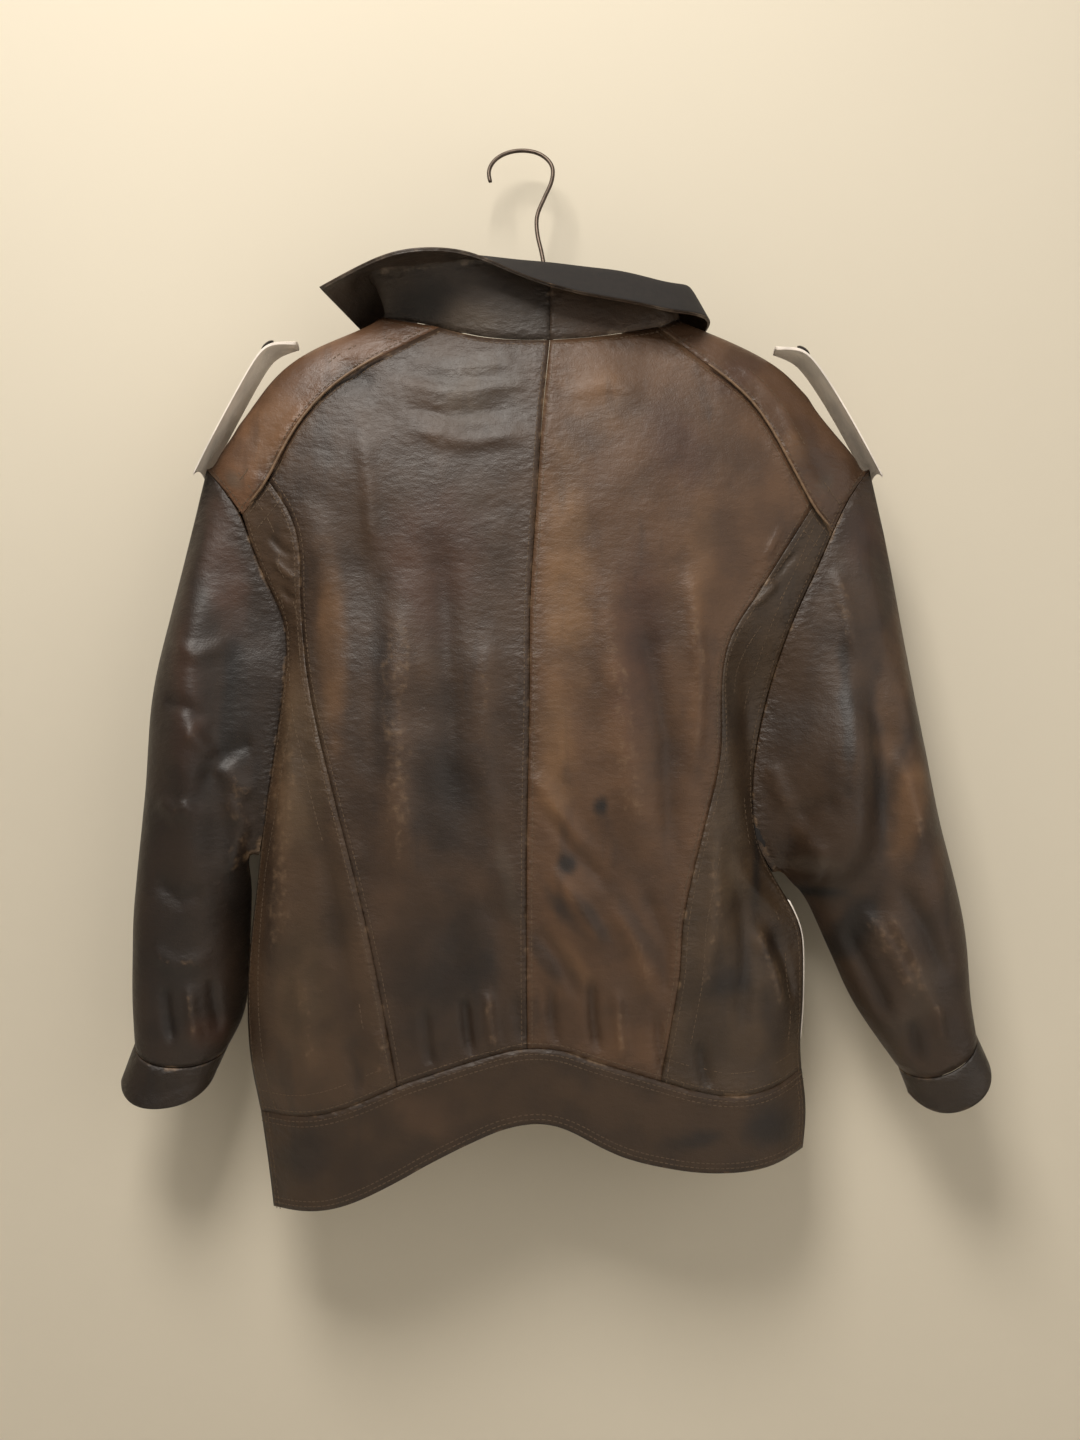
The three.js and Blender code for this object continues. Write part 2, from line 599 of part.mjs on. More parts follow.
const leftArmholeTop = seam(CURVES.leftArmholeTop, YOKE_HALF_ROWS, onBack);
leftArmholeTop[0] = [0, LEFT_TIP[1]];
const leftArmholeTopFront = leftArmholeTop.map(([phi, z]) => [-phi, z]);
const rightArmholeTop = seam(CURVES.rightArmholeTop, YOKE_HALF_ROWS, onBack);
rightArmholeTop[0] = [Math.PI, RIGHT_TIP[1]];
const rightArmholeTopFront = rightArmholeTop.map(([phi, z]) => [2 * Math.PI - phi, z]);

const leftNeckSide = seam(CURVES.leftNeckSide, YOKE_HALF_ROWS, onBack);
leftNeckSide[0] = [0, LEFT_NECK_POINT[1]];
const leftFrontNeckSide = seam(CURVES.leftFrontNeckSide, YOKE_HALF_ROWS, onFrontLeft);
leftFrontNeckSide[0] = [0, LEFT_NECK_POINT[1]];
const rightNeckSide = seam(CURVES.rightNeckSide, YOKE_HALF_ROWS, onBack);
rightNeckSide[0] = [Math.PI, RIGHT_NECK_POINT[1]];
const rightFrontNeckSide = seam(CURVES.rightFrontNeckSide, YOKE_HALF_ROWS, onFrontRight);
rightFrontNeckSide[0] = [Math.PI, RIGHT_NECK_POINT[1]];

const leftFrontYoke = seam(CURVES.leftFrontYoke, YOKE_COLUMNS + LEFT_SIDE_COLUMNS, onFrontLeft);
const rightFrontYoke = seam(CURVES.rightFrontYoke, YOKE_COLUMNS + RIGHT_SIDE_COLUMNS, onFrontRight);

const yokeLeft = yokePlaces(
  joined(leftYokeInner, leftYokeOuter),
  leftFrontYoke,
  leftNeckSide,
  leftFrontNeckSide,
  leftArmholeTop,
  leftArmholeTopFront,
);
const yokeRight = yokePlaces(
  joined(rightYokeInner, rightYokeOuter),
  rightFrontYoke,
  rightNeckSide,
  rightFrontNeckSide,
  rightArmholeTop,
  rightArmholeTopFront,
);

const leftFrontNeck = seam(CURVES.leftFrontNeck, NECK_COLUMNS, onFrontLeft);
const rightFrontNeck = seam(CURVES.rightFrontNeck, NECK_COLUMNS, onFrontRight);
const leftFrontColumns = YOKE_COLUMNS + LEFT_SIDE_COLUMNS + NECK_COLUMNS;
const rightFrontColumns = YOKE_COLUMNS + RIGHT_SIDE_COLUMNS + NECK_COLUMNS;
const leftFrontBand = seam(CURVES.leftFrontBand, leftFrontColumns, onFrontLeft);
leftFrontBand[0] = [0, LEFT_BAND_TOP];
const rightFrontBand = seam(CURVES.rightFrontBand, rightFrontColumns, onFrontRight);
rightFrontBand[rightFrontColumns] = [Math.PI, RIGHT_BAND_TOP];

const leftZipEdge = seam([[frontLeftEdge, FRONT_NECK], [frontLeftEdge, FRONT_BAND_TOP]], BODY_ROWS, onFrontLeft);
const rightZipEdge = seam([[frontRightEdge, FRONT_NECK], [frontRightEdge, FRONT_BAND_TOP]], BODY_ROWS, onFrontRight);

const frontLeft = coons(
  joined(reversed(leftFrontYoke), leftFrontNeck),
  leftFrontBand,
  joined(leftArmholeFront, leftSideSeam),
  leftZipEdge,
);
const frontRight = coons(
  joined(reversed(rightFrontNeck), rightFrontYoke),
  rightFrontBand,
  rightZipEdge,
  joined(rightArmholeFront, rightSideSeam),
);

// The waistband: one piece round the back and one on each front.
const backBandTop = joined(leftSideBand, leftBand, rightBand, rightSideBand);
const leftHemColumns = LEFT_SIDE_COLUMNS + YOKE_COLUMNS + NECK_COLUMNS;
const rightHemColumns = RIGHT_SIDE_COLUMNS + YOKE_COLUMNS + NECK_COLUMNS;
const backHem = joined(
  seam(CURVES.leftHem, leftHemColumns, onBack),
  seam(CURVES.rightHem, rightHemColumns, onBack),
);
backHem[0] = [0, LEFT_HEM];
backHem[backHem.length - 1] = [Math.PI, RIGHT_HEM];
const leftFrontHem = seam(CURVES.leftFrontHem, leftFrontColumns, onFrontLeft);
leftFrontHem[0] = [0, LEFT_HEM];
const rightFrontHem = seam(CURVES.rightFrontHem, rightFrontColumns, onFrontRight);
rightFrontHem[rightFrontColumns] = [Math.PI, RIGHT_HEM];

const bandBack = coons(
  backBandTop,
  backHem,
  straightDown(0, LEFT_BAND_TOP, LEFT_HEM, BAND_ROWS),
  straightDown(Math.PI, RIGHT_BAND_TOP, RIGHT_HEM, BAND_ROWS),
);
const bandFrontLeft = coons(
  leftFrontBand,
  leftFrontHem,
  straightDown(0, LEFT_BAND_TOP, LEFT_HEM, BAND_ROWS),
  seam([[frontLeftEdge, FRONT_BAND_TOP], [frontLeftEdge, FRONT_HEM]], BAND_ROWS, onFrontLeft),
);
const bandFrontRight = coons(
  rightFrontBand,
  rightFrontHem,
  seam([[frontRightEdge, FRONT_BAND_TOP], [frontRightEdge, FRONT_HEM]], BAND_ROWS, onFrontRight),
  straightDown(Math.PI, RIGHT_BAND_TOP, RIGHT_HEM, BAND_ROWS),
);

// ---------------------------------------------------------------- sleeves

// Fanned sections down a sleeve, from the armhole (t = 0) to the cuff seam (t = 1): the
// outer and inner edge, their y, how far the back and front stand off, and the bow.
const LEFT_SLEEVE = stationTracks(
  [
    { t: 0, outX: -258, outZ: -273, inX: -212, inZ: -585, outY: -42, inY: -58, back: 20, front: 20, bow: 0 },
    { t: 0.1, outX: -266, outZ: -308, inX: -215, inZ: -583, outY: -42, inY: -58, back: 26, front: 25, bow: 0 },
    { t: 0.22, outX: -279, outZ: -362, inX: -217, inZ: -585, outY: -43, inY: -57, back: 32, front: 27, bow: 0 },
    { t: 0.34, outX: -291.5, outZ: -412, inX: -218.5, inZ: -590, outY: -44, inY: -54, back: 36, front: 29, bow: 0 },
    { t: 0.46, outX: -302, outZ: -462, inX: -219.5, inZ: -597, outY: -45, inY: -48, back: 38, front: 31, bow: 0 },
    { t: 0.58, outX: -304, outZ: -512, inX: -220.5, inZ: -608, outY: -45, inY: -40, back: 39, front: 32, bow: 2 },
    { t: 0.7, outX: -309, outZ: -568, inX: -223, inZ: -630, outY: -45, inY: -30, back: 40, front: 32, bow: 4 },
    { t: 0.82, outX: -315, outZ: -632, inX: -225.5, inZ: -668, outY: -45, inY: -26, back: 39, front: 31, bow: 8 },
    { t: 0.93, outX: -316.5, outZ: -700, inX: -227.5, inZ: -714, outY: -45, inY: -28, back: 36, front: 29, bow: 12 },
    { t: 1, outX: -314.5, outZ: -734, inX: -241, inZ: -740, outY: -45, inY: -34, back: 31, front: 26, bow: 15 },
  ],
  "t",
);

const RIGHT_SLEEVE = stationTracks(
  [
    { t: 0, outX: 280, outZ: -273, inX: 201, inZ: -600, outY: -42, inY: -42, back: 20, front: 20, bow: 0 },
    { t: 0.1, outX: 286, outZ: -298, inX: 204, inZ: -598, outY: -42, inY: -42, back: 27, front: 24, bow: 0 },
    { t: 0.22, outX: 296, outZ: -348, inX: 206.5, inZ: -600, outY: -43, inY: -42, back: 34, front: 27, bow: 0 },
    { t: 0.34, outX: 305.5, outZ: -403, inX: 210, inZ: -603.5, outY: -44, inY: -42, back: 38, front: 29, bow: 0 },
    { t: 0.46, outX: 316.5, outZ: -461, inX: 215.5, inZ: -609, outY: -45, inY: -41, back: 40, front: 31, bow: 0 },
    { t: 0.58, outX: 327, outZ: -515, inX: 222, inZ: -614, outY: -45, inY: -40, back: 40, front: 32, bow: 0 },
    { t: 0.68, outX: 337, outZ: -566, inX: 231, inZ: -626, outY: -45, inY: -38, back: 38, front: 31, bow: 0 },
    { t: 0.78, outX: 351, outZ: -616, inX: 241, inZ: -648, outY: -45, inY: -36, back: 37, front: 30, bow: 2 },
    { t: 0.88, outX: 358.5, outZ: -665, inX: 257, inZ: -683, outY: -45, inY: -36, back: 36, front: 29, bow: 6 },
    { t: 0.95, outX: 359.5, outZ: -702, inX: 271, inZ: -716, outY: -45, inY: -36, back: 34, front: 27, bow: 10 },
    { t: 1, outX: 362.5, outZ: -724, inX: 303, inZ: -757, outY: -45, inY: -38, back: 29, front: 24, bow: 16 },
  ],
  "t",
);

const SLEEVE_SQUARE = 2.3;
const ARMHOLE_BLEND = 0.24;
const UNDERARM_FLATNESS = 1.15;
const UNDERARM_ROUND_FROM = 0.2;
const UNDERARM_ROUND_AT = 0.7;
const UNDERARM_CLEAR = 2.5;
const UNDERARM_TURN = 0.92;
const NORMAL_STEP = 0.01;
const SLEEVE_SEAM_INSET = 0.8;
const FRONT_BOW_SHARE = 0.4;

// A point on a flattened ring: share 0 at the outer edge, 1 at the inner edge. The ring
// is bowed in its own plane, away from the shoulder, by the section's bow.
// Near the underarm a flatness above one half keeps the inner side from bulging.
function ringPoint(section, angle, onBackHalf, flatness = 0.5) {
  const across = Math.cos(angle);
  const share = (1 - across) / 2;
  const power = across < 0 ? flatness : 0.5;
  const bulge = Math.max(0, 1 - Math.abs(across) ** SLEEVE_SQUARE) ** power;
  const chordX = section.inX - section.outX;
  const chordZ = section.inZ - section.outZ;
  const chord = Math.hypot(chordX, chordZ);
  const downX = (Math.sign(chordX) * chordZ) / chord;
  const downZ = -Math.abs(chordX) / chord;
  const bow = section.bow * bulge * (onBackHalf ? 1 : FRONT_BOW_SHARE);
  const stand = onBackHalf ? -section.back : section.front;
  return new THREE.Vector3(
    section.outX + chordX * share + downX * bow,
    lerp(section.outY, section.inY, share) + stand * bulge,
    section.outZ + chordZ * share + downZ * bow,
  );
}

// The share of an armhole's length passed at each of its places.
function lengthShares(places) {
  const lengths = [0];
  for (let i = 1; i < places.length; i += 1) {
    lengths.push(lengths[i - 1] + body(...places[i]).distanceTo(body(...places[i - 1])));
  }
  return lengths.map((length) => length / lengths[lengths.length - 1]);
}

// The armhole's places from the shoulder tip to the underarm, on the back or the front.
const LEFT_ARMHOLE = {
  back: joined(leftArmholeTop, leftArmholeBack),
  front: joined(leftArmholeTopFront, leftArmholeFront),
};
const RIGHT_ARMHOLE = {
  back: joined(rightArmholeTop, rightArmholeBack),
  front: joined(rightArmholeTopFront, rightArmholeFront),
};

function sleevePoint(sections, armhole, half, step, t, lift) {
  const places = armhole[half];
  const count = places.length - 1;
  const low = clamp(Math.floor(step), 0, count - 1);
  const part = step - low;
  const start = body(...places[low]).lerp(body(...places[low + 1]), part);
  const onBackHalf = half === "back";
  const flatness = lerp(UNDERARM_FLATNESS, 0.5, smoothstep(UNDERARM_ROUND_FROM, UNDERARM_ROUND_AT, t));
  const share = lerp(armhole.shares[low], armhole.shares[low + 1], part);
  const angle = lerp(Math.acos(1 - 2 * share), (Math.PI * step) / count, smoothstep(0, UNDERARM_ROUND_AT, t));
  const ring = ringPoint(sections(t), angle, onBackHalf, flatness);
  const point = start.lerp(ring, smoothstep(0, ARMHOLE_BLEND, t));
  const clear = UNDERARM_CLEAR * share ** 4 * clamp(t * SLEEVE_ROWS, 0, 1) * smoothstep(0.8, 0.3, t);
  point.x += Math.sign(ring.x) * clear;
  if (onBackHalf) {
    const edges = clamp(2 * Math.sin((Math.PI * step) / count), 0, 1);
    point.y -= lift(point.x, point.z) * edges * smoothstep(0.02, 0.14, t);
  }
  return point;
}

// The outward direction of a sleeve: the body's own at the armhole, so that the two
// walls stay parallel at that seam, turning to the sleeve's own further down. Right at the
// underarm it is the sleeve's from the start, because the sleeve leaves the body sideways.
function sleeveNormal(pointAt, facing, bodyNormal, step, count, t) {
  const downward = pointAt(step, Math.min(1, t + NORMAL_STEP)).sub(pointAt(step, Math.max(0, t - NORMAL_STEP)));
  const around = new THREE.Vector3(0, facing.y * (step === 0 ? 1 : -1), 0);
  if (step > 0 && step < count) {
    around.copy(pointAt(step + 0.5, t).sub(pointAt(step - 0.5, t)));
  }
  const own = downward.cross(around).normalize().multiplyScalar(facing.turn);
  const turned = Math.max(smoothstep(0, ARMHOLE_BLEND, t), smoothstep(UNDERARM_TURN, 1, step / count));
  return bodyNormal.clone().lerp(own, turned).normalize();
}

// One half of a sleeve: rows from the armhole to the cuff seam, columns from the
// overarm seam to the underarm seam.
function sleeveHalf(sections, armhole, half, lift) {
  const count = armhole[half].length - 1;
  const bodyNormals = armhole[half].map((place) => normalOn(body, place));
  const pointAt = (step, t) => sleevePoint(sections, armhole, half, step, t, lift);
  const y = half === "back" ? -1 : 1;
  const facing = { y, turn: Math.sign(sections(0).outX) * y };
  const points = [];
  const normals = [];
  for (let r = 0; r <= SLEEVE_ROWS; r += 1) {
    const t = r / SLEEVE_ROWS;
    const line = [];
    const normalLine = [];
    for (let c = 0; c <= count; c += 1) {
      line.push(pointAt(c, t));
      normalLine.push(sleeveNormal(pointAt, facing, bodyNormals[c], c, count, t));
    }
    points.push(line);
    normals.push(normalLine);
  }
  return { points, normals };
}

for (const armhole of [LEFT_ARMHOLE, RIGHT_ARMHOLE]) {
  armhole.shares = lengthShares(armhole.back);
}

const leftSleeveLift = (x, z) => sumCreases(LEFT_SLEEVE_CREASES, x, z);
const rightSleeveLift = (x, z) => sumCreases(RIGHT_SLEEVE_CREASES, x, z) + pouch(x, z);

const sleeves = {
  left: {
    back: sleeveHalf(LEFT_SLEEVE, LEFT_ARMHOLE, "back", leftSleeveLift),
    front: sleeveHalf(LEFT_SLEEVE, LEFT_ARMHOLE, "front", leftSleeveLift),
  },
  right: {
    back: sleeveHalf(RIGHT_SLEEVE, RIGHT_ARMHOLE, "back", rightSleeveLift),
    front: sleeveHalf(RIGHT_SLEEVE, RIGHT_ARMHOLE, "front", rightSleeveLift),
  },
};

function sleeveWall({ points, normals }) {
  return wallOn(insetRim(points, SLEEVE_SEAM_INSET), normals, -LEATHER, 0);
}

// ---------------------------------------------------------------- cuffs

const LEFT_CUFF_END = {
  outX: -326, outZ: -764, inX: -250, inZ: -759, outY: -46, inY: -36, back: 33, front: 28, bow: 22,
};
const RIGHT_CUFF_END = {
  outX: 370.5, outZ: -743, inX: 311, inZ: -778, outY: -46, inY: -40, back: 31, front: 26, bow: 25,
};
const CUFF_SEAM_GAP = 0.4;

// A cuff is a ring that carries the sleeve's last section on to the cuff's own edge.
function cuffWall(sections, end) {
  const start = sections(1);
  const count = ARMHOLE_ROWS + YOKE_HALF_ROWS;
  const points = [];
  const normals = [];
  for (let r = 0; r <= CUFF_ROWS; r += 1) {
    const share = r / CUFF_ROWS;
    const section = {};
    for (const field of Object.keys(end)) {
      section[field] = lerp(start[field], end[field], share);
    }
    const line = [];
    for (let c = 0; c < 2 * count; c += 1) {
      const onBackHalf = c <= count;
      const angle = (Math.PI * (onBackHalf ? c : 2 * count - c)) / count;
      const point = ringPoint(section, angle, onBackHalf);
      const ending = ringPoint(end, angle, onBackHalf);
      const clear = ending.sub(ringPoint(start, angle, onBackHalf)).normalize();
      line.push(point.addScaledVector(clear, CUFF_SEAM_GAP * (1 - share)));
    }
    const centre = line.reduce((sum, point) => sum.add(point), new THREE.Vector3()).divideScalar(line.length);
    points.push(line);
    normals.push(line.map((point) => point.clone().sub(centre).normalize()));
  }
  return wallOn(points, normals, -LEATHER, 0, true);
}

// ---------------------------------------------------------------- collar

// The neck's places from the left front edge, round the back, to the right front edge.
const neckPlaces = joined(
  reversed(leftFrontNeck),
  reversed(leftFrontNeckSide),
  leftNeckSide,
  leftNeck,
  rightNeck,
  reversed(rightNeckSide),
  rightFrontNeckSide,
  rightFrontNeck,
);

// Round the neck, from 0 at the left front to 1 at the right front: how far the stand
// leans out, its height, the roll's radius, how far it turns over, and the leaf's width.
const COLLAR = stationTracks(
  [
    { s: 0, lean: 12, stand: 24, roll: 3.5, turn: 150, leaf: 62 },
    { s: 0.14, lean: 10, stand: 28, roll: 4, turn: 148, leaf: 52 },
    { s: 0.27, lean: 22, stand: 34, roll: 5, turn: 105, leaf: 36 },
    { s: 0.36, lean: 30, stand: 42, roll: 7, turn: 55, leaf: 28 },
    { s: 0.43, lean: 10, stand: 54, roll: 7, turn: 85, leaf: 14 },
    { s: 0.5, lean: 0, stand: 54, roll: 6, turn: 140, leaf: 20 },
    { s: 0.57, lean: 0, stand: 48, roll: 6, turn: 148, leaf: 28 },
    { s: 0.64, lean: 2, stand: 40, roll: 6, turn: 148, leaf: 30 },
    { s: 0.73, lean: 18, stand: 22, roll: 5, turn: 128, leaf: 30 },
    { s: 0.86, lean: 10, stand: 26, roll: 4, turn: 148, leaf: 52 },
    { s: 1, lean: 12, stand: 24, roll: 3.5, turn: 150, leaf: 62 },
  ],
  "s",
);
const COLLAR_STAND_ROWS = 2;
const COLLAR_ROLL_ROWS = 3;
const COLLAR_LEAF_ROWS = 2;
const COLLAR_SEAM_GAP = 0.45;
const COLLAR_LEATHER = 1.3;
const COLLAR_HALF_GAP = 0.16;

function collarGrid() {
  const base = neckPlaces.map((place) => body(...place));
  const last = base.length - 1;
  const lengths = [0];
  for (let i = 1; i <= last; i += 1) {
    lengths.push(lengths[i - 1] + base[i].distanceTo(base[i - 1]));
  }
  const columns = base.map((point, i) => {
    const before = base[Math.max(0, i - 1)];
    const after = base[Math.min(last, i + 1)];
    const out = new THREE.Vector3(after.y - before.y, before.x - after.x, 0).normalize();
    const s = COLLAR(lengths[i] / lengths[last]);
    const lean = THREE.MathUtils.degToRad(s.lean);
    const turn = THREE.MathUtils.degToRad(s.turn);
    const column = [];
    const clear = COLLAR_SEAM_GAP + COLLAR_LEATHER * (0.6 + 1.4 * Math.sin(lean));
    const along = after.clone().sub(before);
    const inward = normalOn(body, neckPlaces[i]).cross(along).normalize();
    const foot = point.clone().addScaledVector(inward, clear);
    let outBy = 0;
    let upBy = 0;
    const place = () => column.push(foot.clone().addScaledVector(out, outBy).setZ(foot.z + upBy));
    const run = (heading, length) => {
      outBy += Math.sin(heading) * length;
      upBy += Math.cos(heading) * length;
      place();
    };
    place();
    for (let r = 0; r < COLLAR_STAND_ROWS; r += 1) {
      run(lean, s.stand / COLLAR_STAND_ROWS);
    }
    const arc = (s.roll * turn) / COLLAR_ROLL_ROWS;
    for (let r = 0; r < COLLAR_ROLL_ROWS; r += 1) {
      run(lean + (turn * (r + 0.5)) / COLLAR_ROLL_ROWS, arc);
    }
    for (let r = 0; r < COLLAR_LEAF_ROWS; r += 1) {
      run(lean + turn, s.leaf / COLLAR_LEAF_ROWS);
    }
    return column;
  });
  const rows = columns[0].length;
  const points = [];
  for (let r = 0; r < rows; r += 1) {
    points.push(columns.map((column) => column[r]));
  }
  return points;
}

function gridNormals(points) {
  const rows = points.length - 1;
  const columns = points[0].length - 1;
  return points.map((line, r) => line.map((_, c) => {
    const across = line[Math.min(columns, c + 1)].clone().sub(line[Math.max(0, c - 1)]);
    const down = points[Math.min(rows, r + 1)][c].clone().sub(points[Math.max(0, r - 1)][c]);
    return across.cross(down).normalize();
  }));
}

const collarPoints = collarGrid();
const collarNormals = gridNormals(collarPoints);
const collarMiddle = 2 * NECK_COLUMNS + 2 * YOKE_HALF_ROWS;

function collarWall(firstColumn, lastColumn, from, to) {
  const cut = (grid) => grid.map((line) => line.slice(firstColumn, lastColumn + 1));
  return wallOn(insetRim(cut(collarPoints), SEAM_INSET), cut(collarNormals), from, to);
}

// ---------------------------------------------------------------- things laid on

// A round cord of piping along points, standing off them on the outside.
function pipingAlong(points, normals) {
  const count = points.length;
  const rings = points.map((point, i) => {
    const along = points[Math.min(count - 1, i + 1)].clone().sub(points[Math.max(0, i - 1)]).normalize();
    const up = normals[i].clone().addScaledVector(along, -normals[i].dot(along)).normalize();
    const side = along.clone().cross(up);
    const centre = point.clone().addScaledVector(up, PIPING_RADIUS + 2 * LAID_ON_GAP);
    const ring = [];
    for (let k = 0; k < PIPING_SIDES; k += 1) {
      const angle = (2 * Math.PI * k) / PIPING_SIDES;
      ring.push(
        centre.clone()
          .addScaledVector(up, PIPING_RADIUS * Math.cos(angle))
          .addScaledVector(side, PIPING_RADIUS * Math.sin(angle)),
      );
    }
    return ring;
  });
  return tubeFrom(rings);
}

// A closed tube through rings of the same number of points.
function tubeFrom(rings) {
  const sides = rings[0].length;
  const positions = [];
  for (const ring of rings) {
    for (const point of ring) {
      positions.push(point.x, point.y, point.z);
    }
  }
  const indices = [];
  for (let i = 0; i < rings.length - 1; i += 1) {
    for (let k = 0; k < sides; k += 1) {
      const a = i * sides + k;
      const b = i * sides + ((k + 1) % sides);
      indices.push(a, b, b + sides, a, b + sides, a + sides);
    }
  }
  const end = (rings.length - 1) * sides;
  for (let k = 1; k < sides - 1; k += 1) {
    indices.push(0, k + 1, k, end, end + k, end + k + 1);
  }
  return solidFrom(positions, indices);
}

function yokePiping(places) {
  const points = places.map(([phi, z]) => body(phi, z));
  const normals = places.map((place) => normalOn(body, place));
  return pipingAlong(points, normals);
}

// An epaulette lies along the shoulder ridge: a flat strap whose inner end stands clear.
const EPAULETTE_THICKNESS = 2.2;
const EPAULETTE_ROWS = 3;
const LEFT_EPAULETTE = [[-263, -272], [-250, -246], [-228, -206], [-212, -178], [-202, -170], [-184, -169]];
const RIGHT_EPAULETTE = [[285, -274], [270, -246], [248, -208], [230, -182], [220, -174.5], [203, -173]];
const EPAULETTE_HALF_WIDTHS = [24, 24, 23.5, 23, 21, 9];
const EPAULETTE_Y = -42;
const EPAULETTE_DROP = 7;

function epauletteGrid(line) {
  const points = [];
  for (let r = 0; r <= EPAULETTE_ROWS; r += 1) {
    const across = (2 * r) / EPAULETTE_ROWS - 1;
    points.push(line.map(([x, z], c) => new THREE.Vector3(
      x,
      EPAULETTE_Y + across * EPAULETTE_HALF_WIDTHS[c],
      z - EPAULETTE_DROP * (1 - 0.6 * (c / (line.length - 1))) * across * across,
    )));
  }
  return points;
}

function epauletteWall(line) {
  const points = epauletteGrid(line);
  const down = new THREE.Vector3(0, 0, -EPAULETTE_THICKNESS);
  const inner = points.map((row) => row.map((point) => point.clone().add(down)));
  return wallBetween(points, inner);
}

const BUTTON_RADIUS = 6.5;
const BUTTON_HEIGHT = 3;

function domedButton() {
  const profile = [
    new THREE.Vector2(0, 0),
    new THREE.Vector2(BUTTON_RADIUS - 1, 0),
    new THREE.Vector2(BUTTON_RADIUS, 1),
    new THREE.Vector2(BUTTON_RADIUS - 1.5, 2.2),
    new THREE.Vector2(BUTTON_RADIUS - 4, BUTTON_HEIGHT),
    new THREE.Vector2(0, BUTTON_HEIGHT),
  ];
  return welded(new THREE.LatheGeometry(profile, 12).rotateX(Math.PI / 2));
}

// The geometry with shared corners, less the empty triangles a lathe leaves on its axis.
function welded(geometry) {
  geometry.deleteAttribute("normal");
  geometry.deleteAttribute("uv");
  const merged = mergeVertices(geometry, 1e-3);
  const faces = [];
  for (let i = 0; i < merged.index.count; i += 3) {
    const [a, b, c] = merged.index.array.slice(i, i + 3);
    if (a !== b && b !== c && c !== a) {
      faces.push(a, b, c);
    }
  }
  return merged.setIndex(faces);
}

// A block of a panel's own places, for what is laid on it.
function blockOf(places, firstRow, lastRow, firstColumn, lastColumn) {
  return places.slice(firstRow, lastRow + 1).map((line) => line.slice(firstColumn, lastColumn + 1));
}

const WELT_THICKNESS = 1.2;
const weltTop = ARMHOLE_ROWS + 1;
const weltBottom = BODY_ROWS - 1;
const weltLeft = blockOf(frontLeft, weltTop, weltBottom, 1, 2);
const weltRight = blockOf(frontRight, weltTop, weltBottom, rightFrontColumns - 1, rightFrontColumns);
const waistTab = blockOf(bandFrontRight, 0, 1, rightFrontColumns - 3, rightFrontColumns);

// ---------------------------------------------------------------- zip

function zipStrip(fromX, toX, from, to) {
  const bottom = FRONT_HEM + 3;
  const rows = BODY_ROWS;
  const left = seam([[fromX, ZIP_TOP], [fromX, bottom]], rows, onFrontLeft);
  const right = seam([[toX, ZIP_TOP], [toX, bottom]], rows, onFrontLeft);
  const places = left.map((place, r) => [place, right[r]]);
  return bodyPanel(places, from, to, 0);
}

const zipHalf = ZIP_CHAIN_WIDTH / 2;
const tapeTop = -LEATHER - 2 * LAID_ON_GAP;
const tapeBottom = tapeTop - ZIP_TAPE_THICKNESS;

const SLIDER = { width: 8, height: 14, depth: 3.4, earWidth: 1.2, earDepth: 5.6, earHeight: 6 };
const CHEST_SLOPE = 0.13;
const PIN_RADIUS = 0.8;
const TAB_BORE = 1.15;
const TAB_EYE_RADIUS = 2.3;
const TAB_LENGTH = 26;
const TAB_WIDTH = 4.8;
const TAB_THICKNESS = 1.6;
const sliderZ = ZIP_TOP + 1 + SLIDER.height / 2;
const sliderY = body(...onFrontLeft(CENTRE_FRONT, sliderZ)).y + 0.6;
const pinY = sliderY + SLIDER.depth / 2 + 3.6;
const pinZ = sliderZ + 2;

const wasm = await Module();
wasm.setup();

function toSolid(geometry) {
  const clean = welded(geometry);
  const mesh = new wasm.Mesh({
    numProp: 3,
    vertProperties: new Float32Array(clean.attributes.position.array),
    triVerts: new Uint32Array(clean.index.array),
  });
  return new wasm.Manifold(mesh);
}

function fromSolid(solid) {
  const mesh = solid.getMesh();
  const geometry = new THREE.BufferGeometry();
  geometry.setAttribute("position", new THREE.Float32BufferAttribute(mesh.vertProperties, 3));
  geometry.setIndex([...mesh.triVerts]);
  return geometry;
}

// The slider's plate, two ears and the bar between them that the pull hangs on.
function zipSlider() {
  const plate = new THREE.BoxGeometry(SLIDER.width, SLIDER.depth, SLIDER.height);
  let solid = toSolid(plate.translate(CENTRE_FRONT, sliderY, sliderZ));
  for (const side of [-1, 1]) {
    const ear = new THREE.BoxGeometry(SLIDER.earWidth, SLIDER.earDepth, SLIDER.earHeight);
    const earX = CENTRE_FRONT + (side * (SLIDER.width - SLIDER.earWidth)) / 2;
    ear.translate(earX, pinY - SLIDER.earDepth / 2 + 1.4, pinZ);
    solid = solid.add(toSolid(ear));
  }
  const pin = new THREE.CylinderGeometry(PIN_RADIUS, PIN_RADIUS, SLIDER.width - 0.2, 16);
  pin.rotateZ(Math.PI / 2).translate(CENTRE_FRONT, pinY, pinZ);
  return fromSolid(solid.add(toSolid(pin)));
}

